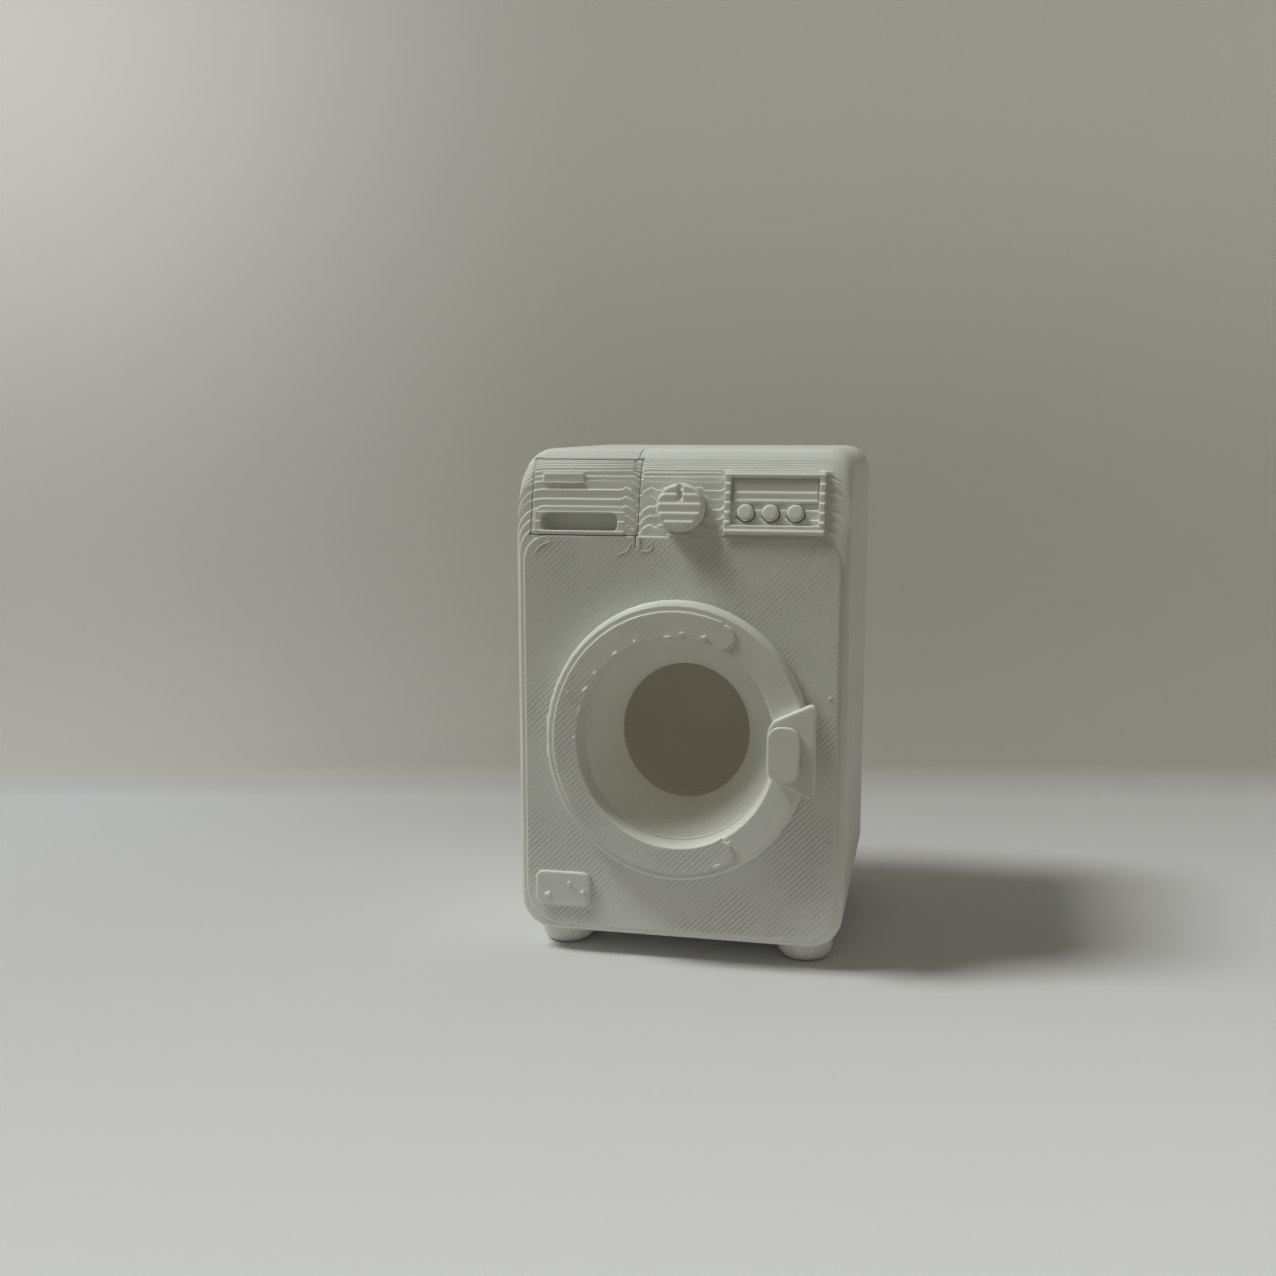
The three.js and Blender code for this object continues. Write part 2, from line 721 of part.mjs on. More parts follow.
const buttonFirst = frameLeft + frameWidth * buttonFromFrameShare;
const buttonPlaces = Array.from({ length: buttonCount }, (unused, i) => buttonFirst + i * buttonPitch);
const buttonHoleRadius = buttonRadius + buttonGap;
const flangeFront = frontWall + fitGap;
const flangeBack = flangeFront + buttonFlangeThickness;
const keeperFront = flangeBack + buttonTravel + fitGap;

function makeButton() {
  const face = -buttonProud;
  return turnedAlongDepth([
    [0, face],
    ...roundOver(smallCornerFacets, (turn) => [
      buttonRadius - buttonDome * (1 - Math.sin(turn)),
      face + buttonDome * (1 - Math.cos(turn)),
    ]),
    [buttonRadius, flangeFront], [buttonFlangeRadius, flangeFront], [buttonFlangeRadius, flangeBack],
    [0, flangeBack], [0, face],
  ], smallFacets);
}

function makeButtonKeeper() {
  const half = (buttonCount - 1) / 2 * buttonPitch + buttonFlangeRadius + fitGap + keeperPostWidth;
  const back = keeperFront + keeperThickness;
  const tall = keeperHeight / 2;
  const strip = block(-half, half, keeperFront, back, -tall, tall);
  const post = (x) => block(x, x + keeperPostWidth, frontWall + turnedGap / 2, back, -tall, tall);
  return strip.add(post(-half)).add(post(half - keeperPostWidth));
}

// Filter cover, pushed into a hole at the lower left

function makeFilterCover() {
  const plug = plate(roundedRectangle(filterWidth - 2 * filterPlugMargin, filterHeight - 2 * filterPlugMargin,
    lastLayer), -filterThickness / 2, filterPlugLength);
  return plate(roundedRectangle(filterWidth, filterHeight, filterCorner), -filterThickness, 0).add(plug);
}

const filterHole = plate(roundedRectangle(filterWidth - 2 * filterPlugMargin + fitGap,
  filterHeight - 2 * filterPlugMargin + fitGap, lastLayer), -overrun, frontWall + overrun);

// Feet

function makeFoot() {
  const points = [
    [0, 0],
    ...roundOver(smallCornerFacets, (turn) => [
      footTipRadius + (footRadius - footTipRadius) * Math.sin(turn),
      footHeight * footDomeShare * (1 - Math.cos(turn)),
    ]),
    [footRadius, footHeight], [footPegRadius, footHeight], [footPegRadius, footHeight + footPegLength],
    [0, footHeight + footPegLength], [0, 0],
  ].map(([radius, height]) => new THREE.Vector2(radius, height));
  return solidFrom(new THREE.LatheGeometry(points, smallFacets).rotateX(Math.PI / 2));
}

const filterX = filterInset - halfWidth;
const footX = halfWidth - footInset;
const footPlaces = {
  foot_front_left: [-footX, footRadius + fitGap + frontWall],
  foot_front_right: [footX, footRadius + fitGap + frontWall],
  foot_rear_left: [-footX, cabinetDepth - footRadius - fitGap - frontWall],
  foot_rear_right: [footX, cabinetDepth - footRadius - fitGap - frontWall],
};
const footHole = barUpright(footPegRadius + fitGap / 2, 0, footHeight + sideWall + overrun);

// Cabinet

function makeCabinet() {
  const cutters = [
    cabinetInside,
    bay,
    groove,
    shifted(sealRecess, 0, 0, doorHeight),
    shifted(sealHole, 0, 0, doorHeight),
    shifted(hingePocket, 0, 0, doorHeight),
    shifted(catchSlot, 0, 0, doorHeight),
    shifted(filterHole, filterX, 0, footHeight + filterRise),
    onPanel(barAlongDepth(dialStemRadius + dialStemGap, -overrun, frontWall + overrun), dialOffset, dialRise),
    onPanel(paneRecess, frameCentre, paneLow),
    ...buttonPlaces.map((x) => onPanel(barAlongDepth(buttonHoleRadius, -overrun, frontWall + overrun),
      x, buttonRise)),
    ...pegPlaces.map(([x, rise]) => onPanel(barAlongDepth(framePegRadius + dialStemGap, -overrun,
      framePegLength + fitGap, pegFacets), x, rise)),
    ...Object.values(footPlaces).map(([x, y]) => shifted(footHole, x, y, 0)),
  ];
  return cutters.reduce((solid, cutter) => solid.subtract(cutter), cabinetOutside);
}

// Materials: one white filament, with small differences in sheen, and steel wire

const printedWhite = { color: 0xe6e7df, roughness: 0.55, metalness: 0 };
const shellWhite = new THREE.MeshStandardMaterial({ ...printedWhite });
const doorWhite = new THREE.MeshStandardMaterial({ ...printedWhite, roughness: 0.5 });
const smallPartWhite = new THREE.MeshStandardMaterial({ ...printedWhite, roughness: 0.48 });
const innerWhite = new THREE.MeshStandardMaterial({ ...printedWhite, roughness: 0.6 });
const steelWire = new THREE.MeshStandardMaterial({ color: 0xb8b8b8, roughness: 0.35, metalness: 1 });

// Assembly

function piece(name, solid, material, parent, x = 0, y = 0, z = 0) {
  const mesh = new THREE.Mesh(geometryFrom(solid), material);
  mesh.name = name;
  mesh.position.set(x, y, z);
  parent.add(mesh);
  return mesh;
}

function subGroup(parent, x, y, z) {
  const inner = new THREE.Group();
  inner.position.set(x, y, z);
  parent.add(inner);
  return inner;
}

const group = new THREE.Group();
const toy = subGroup(group, 0, frontPlane, 0);

piece('cabinet', makeCabinet(), shellWhite, toy);
piece('back_cover', makeBackCover(), shellWhite, toy);
for (const [name, [x, y]] of Object.entries(footPlaces)) piece(name, makeFoot(), shellWhite, toy, x, y);
piece('filter_cover', makeFilterCover(), smallPartWhite, toy, filterX, 0, footHeight + filterRise);
piece('door_seal', makeDoorSeal(), innerWhite, toy, 0, 0, doorHeight);
piece('hinge_plate', makeHingePlate(), smallPartWhite, toy, 0, 0, doorHeight);
piece('hinge_pin', barUpright(hingePinRadius, -earHigh, earHigh), steelWire, toy, hingeX, hingeY, doorHeight);
piece('drawer_guide', makeDrawerGuide(), innerWhite, toy);

// The door turns about its hinge, so its pieces are placed from the hinge's axis.
const door = subGroup(toy, hingeX, hingeY, doorHeight);
piece('door_ring', makeDoorRing(), doorWhite, door, -hingeX, -hingeY);
piece('door_handle', makeDoorHandle(), doorWhite, door, -hingeX, -hingeY);
const padX = handleInside + padWidth / 2;
piece('handle_pad', makeHandlePad(), doorWhite, door, padX - hingeX, -hingeY, -padDrop);

const drum = subGroup(toy, 0, 0, doorHeight);
piece('drum', makeDrum(), innerWhite, drum);
piece('drum_axle', makeDrumAxle(), innerWhite, drum);
piece('axle_cap', makeAxleCap(), smallPartWhite, drum);

const drawer = subGroup(toy, 0, 0, 0);
piece('drawer_front', makeDrawerFront(), shellWhite, drawer);
piece('drawer_tray', makeDrawerTray(), innerWhite, drawer);

// The panel's pieces share its slope.
const panel = subGroup(toy, 0, 0, panelFoot);
panel.rotation.x = -panelLean;
const dial = subGroup(panel, dialOffset, 0, dialRise);
piece('dial_knob', makeDialKnob(), smallPartWhite, dial);
piece('dial_collar', makeDialCollar(), innerWhite, dial);
piece('display_frame', makeDisplayFrame(), smallPartWhite, panel);
piece('display_pane', makeDisplayPane(), smallPartWhite, panel, frameCentre, 0, paneLow);
buttonPlaces.forEach((x, i) => {
  piece(`button_${i + 1}`, makeButton(), smallPartWhite, panel, x, 0, buttonRise);
});
piece('button_keeper', makeButtonKeeper(), innerWhite, panel,
  buttonFirst + (buttonCount - 1) / 2 * buttonPitch, 0, buttonRise);

export default group;
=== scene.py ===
# %% [markdown]
# # A small printed washing machine
# The toy is 51 mm tall and was printed in white filament while it lay on its back. Every surface is
# therefore a stack of layers 0.2 mm thick, parallel to the front. A noise bump could only hint at that.
# Here each piece is cut into real layers, as a slicer cuts it, and the layers are fused again.

# %% Load the fixed frame
import json
import math

import bmesh
import bpy
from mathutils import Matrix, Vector

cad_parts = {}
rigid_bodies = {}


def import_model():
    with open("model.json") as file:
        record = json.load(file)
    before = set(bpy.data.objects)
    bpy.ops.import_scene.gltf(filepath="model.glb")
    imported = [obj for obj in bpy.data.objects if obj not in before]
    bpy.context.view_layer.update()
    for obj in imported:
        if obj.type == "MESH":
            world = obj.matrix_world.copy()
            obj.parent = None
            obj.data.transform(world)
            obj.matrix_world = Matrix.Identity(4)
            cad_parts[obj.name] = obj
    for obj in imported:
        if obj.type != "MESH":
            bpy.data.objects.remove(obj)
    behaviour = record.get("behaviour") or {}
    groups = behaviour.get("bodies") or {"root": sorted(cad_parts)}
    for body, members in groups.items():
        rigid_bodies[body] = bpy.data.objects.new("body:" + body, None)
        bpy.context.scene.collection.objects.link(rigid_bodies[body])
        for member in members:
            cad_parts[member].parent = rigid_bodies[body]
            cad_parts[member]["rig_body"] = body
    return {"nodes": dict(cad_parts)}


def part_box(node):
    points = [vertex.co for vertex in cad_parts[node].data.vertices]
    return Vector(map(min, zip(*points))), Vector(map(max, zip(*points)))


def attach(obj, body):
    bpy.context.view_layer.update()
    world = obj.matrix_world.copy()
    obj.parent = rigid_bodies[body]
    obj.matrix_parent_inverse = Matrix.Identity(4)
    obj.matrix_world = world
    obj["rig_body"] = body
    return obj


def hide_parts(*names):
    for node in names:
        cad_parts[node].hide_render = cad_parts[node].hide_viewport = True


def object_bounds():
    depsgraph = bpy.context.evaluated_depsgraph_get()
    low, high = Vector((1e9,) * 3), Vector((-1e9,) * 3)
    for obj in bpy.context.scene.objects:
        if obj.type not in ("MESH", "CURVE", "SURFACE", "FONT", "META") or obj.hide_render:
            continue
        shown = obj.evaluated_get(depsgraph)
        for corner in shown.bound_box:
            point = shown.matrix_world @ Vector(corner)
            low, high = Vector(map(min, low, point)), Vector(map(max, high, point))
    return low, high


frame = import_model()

cad_low, cad_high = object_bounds()
nodes = frame["nodes"]
print("CAD box in mm:", [round(1000 * (h - l), 2) for l, h in zip(cad_low, cad_high)])

# %% [markdown]
# ## Sizes shared by all pieces
# Work is done in millimetres, because Blender's operators round off very small metric lengths, and each
# finished mesh is scaled back to metres. The front plane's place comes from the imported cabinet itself.
# OVERLAP is how far each layer reaches into the next, and JUST_INSIDE how far behind a layer's front its
# outline is read.

# %% Sizes of the print
MM = 0.001
LAYER = 0.2
OVERLAP = 0.055
JUST_INSIDE = 0.013
SMALLEST_CORNER = 0.02
front_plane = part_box("cabinet")[0].y / MM
toy_top = cad_high.z / MM
PANEL_LEAN = math.radians(12.8)
PANEL_DROP = 8.35
CROWN_RADIUS = 4.2
panel_foot = toy_top - PANEL_DROP
print("front plane", round(front_plane, 3), "panel foot", round(panel_foot, 3))

# %% [markdown]
# ## Camera
# The camera stands close, a little above the panel and to the right, and looks down at the door. Its
# angles and lens follow from the vanishing lines of the photograph.

# %% Camera
CAMERA_PLACE = (0.02473, -0.14658, 0.05351)
CAMERA_TILT = math.radians(81.33)
CAMERA_TURN = math.radians(12.167)
camera_data = bpy.data.cameras.new("camera")
camera_data.lens = 39.78
camera_data.sensor_width = 36
camera_data.clip_start = 0.005
camera = bpy.data.objects.new("camera", camera_data)
camera.location = CAMERA_PLACE
camera.rotation_euler = (CAMERA_TILT, 0, CAMERA_TURN)
bpy.context.scene.collection.objects.link(camera)
bpy.context.scene.camera = camera
print("camera at", [round(v / MM, 1) for v in camera.location], "mm")

# %% [markdown]
# ## Small helpers for working by hand
# An operator acts on whatever is selected, so every step first clears the selection and then picks one
# object. Faces are picked by the way they point.


# %% Selecting
STRAIGHT_ON = 0.99


def clear_selection():
    if bpy.context.mode != "OBJECT":
        bpy.ops.object.mode_set(mode="OBJECT")
    bpy.ops.object.select_all(action="DESELECT")


def pick(piece):
    clear_selection()
    piece.select_set(True)
    bpy.context.view_layer.objects.active = piece
    return piece


def pick_front_faces(piece):
    bpy.ops.mesh.select_mode(type="FACE")
    bpy.ops.mesh.select_all(action="DESELECT")
    shape = bmesh.from_edit_mesh(piece.data)
    for face in shape.faces:
        face.select_set(face.normal.y < -STRAIGHT_ON)
    bmesh.update_edit_mesh(piece.data)


def pick_edges(piece, wanted):
    bpy.ops.mesh.select_all(action="DESELECT")
    shape = bmesh.from_edit_mesh(piece.data)
    for edge in shape.edges:
        edge.select_set(wanted((edge.verts[0].co + edge.verts[1].co) / 2))
    bmesh.update_edit_mesh(piece.data)


def joined(pieces):
    clear_selection()
    for piece in pieces:
        piece.select_set(True)
    bpy.context.view_layer.objects.active = pieces[0]
    if len(pieces) > 1:
        bpy.ops.object.join()
    return pieces[0]


def apply_modifier(piece, kind, **settings):
    pick(piece)
    modifier = piece.modifiers.new(kind.lower(), kind)
    for name, value in settings.items():
        setattr(modifier, name, value)
    bpy.ops.object.modifier_apply(modifier=modifier.name)
    return piece


def fuse(piece, other, operation="UNION"):
    apply_modifier(piece, "BOOLEAN", operation=operation, solver="MANIFOLD", object=other)
    bpy.data.objects.remove(other)
    return piece


# %% [markdown]
# ## From a CAD solid to a stack of layers
# A slicer reads the solid at each layer's front and lays that outline down 0.2 mm thick. The same is
# done here. A bisect with both sides cleared leaves a bare outline, and a fill makes it a flat slice.


# %% Slicing
def solid_copy(node):
    piece = bpy.data.objects.new(node + "_solid", nodes[node].data.copy())
    bpy.context.scene.collection.objects.link(piece)
    piece.data.materials.clear()
    pick(piece)
    piece.scale = (1 / MM, 1 / MM, 1 / MM)
    bpy.ops.object.transform_apply(location=False, rotation=False, scale=True)
    bpy.ops.object.mode_set(mode="EDIT")
    bpy.ops.mesh.select_all(action="SELECT")
    bpy.ops.mesh.remove_doubles(threshold=0.0005)
    bpy.ops.object.mode_set(mode="OBJECT")
    return piece


def slice_of(solid, depth):
    piece = bpy.data.objects.new("slice", solid.data.copy())
    bpy.context.scene.collection.objects.link(piece)
    pick(piece)
    bpy.ops.object.mode_set(mode="EDIT")
    bpy.ops.mesh.select_all(action="SELECT")
    bpy.ops.mesh.bisect(plane_co=(0, depth + JUST_INSIDE, 0), plane_no=(0, 1, 0), use_fill=False,
                        clear_inner=True, clear_outer=True)
    bpy.ops.mesh.select_all(action="SELECT")
    bpy.ops.mesh.remove_doubles(threshold=SMALLEST_CORNER)
    bpy.ops.mesh.dissolve_limited(angle_limit=math.radians(1))
    bpy.ops.mesh.select_all(action="SELECT")
    if bmesh.from_edit_mesh(piece.data).edges:
        bpy.ops.mesh.fill(use_beauty=True)
    bpy.ops.object.mode_set(mode="OBJECT")
    return piece


# %% [markdown]
# ## A plate with a rounded rim
# An extrude makes each slice a plate, and insets round its front rim like a bead of plastic. The last
# inset is level, so that the broad face inside it is shaded flat. The insets squeeze the long faces
# that fill a plate, so these are deleted and filled again.

# %% Plates with rounded rims
BEAD_STEPS = ((0.03, 0.055), (0.055, 0.035), (0.09, 0.02), (0.02, 0))
RIM_WIDTH = sum(width for width, depth in BEAD_STEPS)
RIM_DEPTH = sum(depth for width, depth in BEAD_STEPS)
print("a full rim is", round(RIM_WIDTH, 3), "mm wide and", round(RIM_DEPTH, 3), "mm deep")


def round_rim(piece, share):
    pick_front_faces(piece)
    for width, depth in BEAD_STEPS:
        bpy.ops.mesh.inset(thickness=width * share, depth=depth, use_even_offset=False)
    bpy.ops.mesh.delete(type="FACE")
    bpy.ops.mesh.select_mode(type="EDGE")
    bpy.ops.mesh.select_non_manifold(extend=False, use_wire=False, use_boundary=True,
                                     use_multi_face=False, use_non_contiguous=False, use_verts=False)
    bpy.ops.mesh.fill(use_beauty=True)


def make_plate(piece, thickness, share):
    rim = RIM_DEPTH if share else 0
    pick(piece)
    bpy.ops.object.mode_set(mode="EDIT")
    bpy.ops.mesh.select_all(action="SELECT")
    bpy.ops.transform.translate(value=(0, rim - JUST_INSIDE, 0))
    bpy.ops.mesh.extrude_region_move(TRANSFORM_OT_translate={"value": (0, thickness + OVERLAP - rim, 0)})
    bpy.ops.mesh.select_all(action="SELECT")
    bpy.ops.mesh.normals_make_consistent(inside=False)
    if share:
        round_rim(piece, share)
    bpy.ops.mesh.select_all(action="SELECT")
    bpy.ops.mesh.normals_make_consistent(inside=False)
    bpy.ops.object.mode_set(mode="OBJECT")


# %% [markdown]
# ## Which plates are good enough
# Where a corner is too tight for the full round, the insets cross and the mesh breaks. So each plate is
# tested, and made again with a smaller share of the round, or from a slice a little off its place. The
# test wants two faces at every edge and most of the expected volume. It takes the volume without its
# sign and can't tell a plate that is inside out: the cabinet's 15th plate, 2.8 mm behind the front, is.

# %% Testing a plate
TRIES = ((1, 0), (1, 0.02), (0.7, 0), (0.7, 0.02), (0.7, 0.05), (0.45, 0), (0.45, 0.03), (0.45, -0.05),
         (0.2, 0), (0.2, 0.07), (0, 0), (0, 0.03), (0, 0.07), (0, -0.06))
SMALLEST_ROUNDED = 2
ROOM_FOR_RIM = 0.4
LEAST_FILLING = 0.6


def is_closed(piece, least_volume=0):
    shape = bmesh.new()
    shape.from_mesh(piece.data)
    closed = all(len(edge.link_faces) == 2 for edge in shape.edges)
    full = shape.calc_volume() >= least_volume
    shape.free()
    return closed and full


def area_and_width(piece):
    shape = bmesh.new()
    shape.from_mesh(piece.data)
    rim = sum(edge.calc_length() for edge in shape.edges if edge.is_boundary)
    area = sum(face.calc_area() for face in shape.faces)
    shape.free()
    return area, 2 * area / max(rim, 0.001)


def plate_at(solid, depth, thickness):
    for share, nudge in TRIES:
        piece = slice_of(solid, depth + nudge)
        if not piece.data.polygons:
            bpy.data.objects.remove(piece)
            return None
        area, width = area_and_width(piece)
        rim_fits = area > SMALLEST_ROUNDED and share * RIM_WIDTH < ROOM_FOR_RIM * width
        if not share or rim_fits:
            make_plate(piece, thickness, share)
            if is_closed(piece, LEAST_FILLING * area * thickness):
                return piece
        bpy.data.objects.remove(piece)
    print("a sliver at depth", round(depth, 2), "is left out")
    return None


# %% [markdown]
# ## Layers fused into one skin
# Each plate reaches a little into the next, which leaves only a fine groove between them on the upright
# walls. Every second plate goes into one mesh and the rest into another, and a boolean fuses the two.
# The result is held within the solid's own depth, so that no overlap sticks out at the back.

# %% Stacking
FIRST_SLACK = 0.01
LAST_SLACK = 0.2


def plates(solid, depths, thickness):
    made = [plate_at(solid, depth, thickness) for depth in depths]
    return joined([piece for piece in made if piece])


def depth_range(solid):
    depths = [v.co.y for v in solid.data.vertices]
    return min(depths), max(depths)


def layer_stack(solid, layer=LAYER, first=None):
    low, high = depth_range(solid)
    if first is None:
        first = front_plane + layer * math.ceil((low - front_plane) / layer - FIRST_SLACK)
    count = max(1, round((high - first) / layer - LAST_SLACK))
    depths = [first + layer * k for k in range(count)]
    stack = plates(solid, depths[0::2], layer)
    if count > 1:
        fuse(stack, plates(solid, depths[1::2], layer))
    for corner in stack.data.vertices:
        corner.co.y = min(max(corner.co.y, low), high)
    bpy.data.objects.remove(solid)
    return stack


# %% [markdown]
# ## Small parts melt a little
# A part only a few beads wide stays hot while the next layer goes on, so its corners slump. A voxel
# remesh with a fine grid and a few rounds of smoothing give that soft look, and keep the layers. Some
# parts are also made a little wider, because the photographed toy shows no dark gaps round them.

# %% Wider and melted copies
WHOLE_DEPTH = 100


def widen(solid, extra, reach=WHOLE_DEPTH):
    low = Vector([min(v.co[i] for v in solid.data.vertices) for i in range(3)])
    high = Vector([max(v.co[i] for v in solid.data.vertices) for i in range(3)])
    middle = (low + high) / 2
    for corner in solid.data.vertices:
        if corner.co.y > low.y + reach:
            continue
        for i in (0, 2):
            half = (high[i] - low[i]) / 2
            corner.co[i] = middle[i] + (corner.co[i] - middle[i]) * (half + extra) / half
    return solid


def melt(piece, voxel, rounds):
    apply_modifier(piece, "REMESH", mode="VOXEL", voxel_size=voxel)
    apply_modifier(piece, "SMOOTH", factor=0.5, iterations=rounds)
    return piece


# %% [markdown]
# ## Finishing a piece
# Every piece ends the same way: its mesh goes back to metres, round rims are shaded smooth while the
# creases between layers stay sharp, and it gets its finish and the body it rides on, while its CAD node
# is hidden.

# %% Finishing
CREASE = math.radians(38)


def sharpen_creases(piece):
    shape = bmesh.new()
    shape.from_mesh(piece.data)
    for edge in shape.edges:
        if edge.calc_face_angle(0) > CREASE:
            edge.smooth = False
    shape.to_mesh(piece.data)
    shape.free()
    if piece.data.validate():
        print("doubled faces are taken out of", piece.name)


def finish_piece(piece, name, node, finish):
    pick(piece)
    piece.name = name
    piece.data.name = name
    bpy.ops.object.shade_smooth_by_angle(angle=CREASE)
    sharpen_creases(piece)
    piece.scale = (MM, MM, MM)
    bpy.ops.object.transform_apply(location=True, rotation=True, scale=True)
    piece.data.materials.clear()
    piece.data.materials.append(finish)
    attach(piece, nodes[node]["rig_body"])
    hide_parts(node)
    triangles = sum(len(p.vertices) - 2 for p in piece.data.polygons)
    print(name, "has", triangles, "triangles, closed:", is_closed(piece))
    return piece


# %% [markdown]
# ## Filament finishes
# White filament is never one flat colour. Light enters it a little, the top lines of each face leave
# thin valleys at 45 degrees, and every bead has its own sheen. The effects are node groups, so that
# each finish can use them with its own values.

# %% Node helpers
def new_group(name, inputs, outputs):
    group = bpy.data.node_groups.new(name, "ShaderNodeTree")
    for label, kind, value in inputs:
        socket = group.interface.new_socket(label, in_out="INPUT", socket_type=kind)
        socket.default_value = value
    for label, kind in outputs:
        group.interface.new_socket(label, in_out="OUTPUT", socket_type=kind)
    return group, group.nodes.new("NodeGroupInput"), group.nodes.new("NodeGroupOutput")


def maths(tree, operation, first, second=None, third=None):
    node = tree.nodes.new("ShaderNodeMath")
    node.operation = operation
    for socket, value in zip(node.inputs, (first, second, third)):
        if value is None:
            continue
        if isinstance(value, (int, float)):
            socket.default_value = value
        else:
            tree.links.new(value, socket)
    return node.outputs["Value"]


def noise(tree, vector, scale, detail=2.0):
    node = tree.nodes.new("ShaderNodeTexNoise")
    node.inputs["Scale"].default_value = scale
    node.inputs["Detail"].default_value = detail
    tree.links.new(vector, node.inputs["Vector"])
    return node.outputs["Fac"]


def soft_step(tree, value, low, high):
    node = tree.nodes.new("ShaderNodeMapRange")
    node.interpolation_type = "SMOOTHSTEP"
    node.inputs["From Min"].default_value = low
    node.inputs["From Max"].default_value = high
    tree.links.new(value, node.inputs["Value"])
    return node.outputs["Result"]


def colour_mix(tree, factor, first, second):
    node = tree.nodes.new("ShaderNodeMix")
    node.data_type = "RGBA"
    tree.links.new(factor, node.inputs["Factor"])
    for name, value in (("A", first), ("B", second)):
        if isinstance(value, tuple):
            node.inputs[name].default_value = (*value, 1)
        else:
            tree.links.new(value, node.inputs[name])
    return node.outputs["Result"]


# %% [markdown]
# ## Top lines
# The last layer of a broad face is laid in parallel lines at 45 degrees. FRACT turns the distance across
# them into a ramp that starts again at each line, and the valley lies where two lines meet. Noise makes
# the valleys come and go, and only faces that look forward have them.

# %% Top lines on faces that look forward
TOP_LINE_PITCH = 0.437
PATCH_SCALE = 140
FINE_SCALE = 900
CROWN_SHARE = 0.25


def make_top_lines():
    group, given, out = new_group(
        "top_lines",
        [("Slope", "NodeSocketFloat", 1.0), ("Evenness", "NodeSocketFloat", 0.5),
         ("Last Layer", "NodeSocketFloat", 0.0)],
        [("Height", "NodeSocketFloat"), ("Valley", "NodeSocketFloat")])
    place = group.nodes.new("ShaderNodeTexCoord")
    split = group.nodes.new("ShaderNodeSeparateXYZ")
    group.links.new(place.outputs["Object"], split.inputs[0])
    normal = group.nodes.new("ShaderNodeSeparateXYZ")
    group.links.new(place.outputs["Normal"], normal.inputs[0])
    across = maths(group, "MULTIPLY", split.outputs["X"], given.outputs["Slope"])
    along = maths(group, "SUBTRACT", across, split.outputs["Z"])
    count = maths(group, "MULTIPLY", along, math.sqrt(0.5) / (TOP_LINE_PITCH * MM))
    turn = maths(group, "FRACT", count)
    middle = maths(group, "ABSOLUTE", maths(group, "SUBTRACT", turn, 0.5))
    valley = soft_step(group, middle, 0.4, 0.49)
    patches = noise(group, place.outputs["Object"], PATCH_SCALE, 3)
    fine = noise(group, place.outputs["Object"], FINE_SCALE, 2)
    mottled = maths(group, "ADD", patches, maths(group, "MULTIPLY", fine, 0.35))
    uneven = soft_step(group, mottled, 0.56, 0.8)
    strength = maths(group, "MAXIMUM", uneven, given.outputs["Evenness"])
    facing = soft_step(group, maths(group, "MULTIPLY", normal.outputs["Y"], -1), 0.96, 0.995)
    ahead = maths(group, "SUBTRACT", given.outputs["Last Layer"], split.outputs["Y"])
    facing = maths(group, "MULTIPLY", facing, soft_step(group, ahead, -0.06 * MM, -0.02 * MM))
    shown = maths(group, "MULTIPLY", valley, maths(group, "MULTIPLY", strength, facing))
    group.links.new(shown, out.inputs["Valley"])
    crown = maths(group, "MULTIPLY", maths(group, "MULTIPLY", middle, middle), facing)
    height = maths(group, "ADD", shown, maths(group, "MULTIPLY", crown, CROWN_SHARE))
    group.links.new(maths(group, "MULTIPLY", height, -1), out.inputs["Height"])
    return group


# %% [markdown]
# ## Layer lines and tone
# A hidden piece keeps its plain solid, so its layers are a row of half-round beads in the bump. The tone
# group paints shade into the valleys, clouds the colour a little and passes a fine grain on to the bump.

# %% Layer lines for pieces that keep their plain solid
def make_layer_lines():
    group, given, out = new_group(
        "layer_lines", [("Pitch", "NodeSocketFloat", LAYER * MM)], [("Height", "NodeSocketFloat")])
    place = group.nodes.new("ShaderNodeTexCoord")
    split = group.nodes.new("ShaderNodeSeparateXYZ")
    group.links.new(place.outputs["Object"], split.inputs[0])
    turn = maths(group, "FRACT", maths(group, "DIVIDE", split.outputs["Y"], given.outputs["Pitch"]))
    middle = maths(group, "SUBTRACT", turn, 0.5)
    bead = maths(group, "SQRT", maths(group, "SUBTRACT", 0.26, maths(group, "MULTIPLY", middle, middle)))
    group.links.new(bead, out.inputs["Height"])
    return group


# %% Tone and sheen of the filament
CLOUD_SCALE = 220
GRAIN_SCALE = 2600
VALLEY_SHADE = 0.55


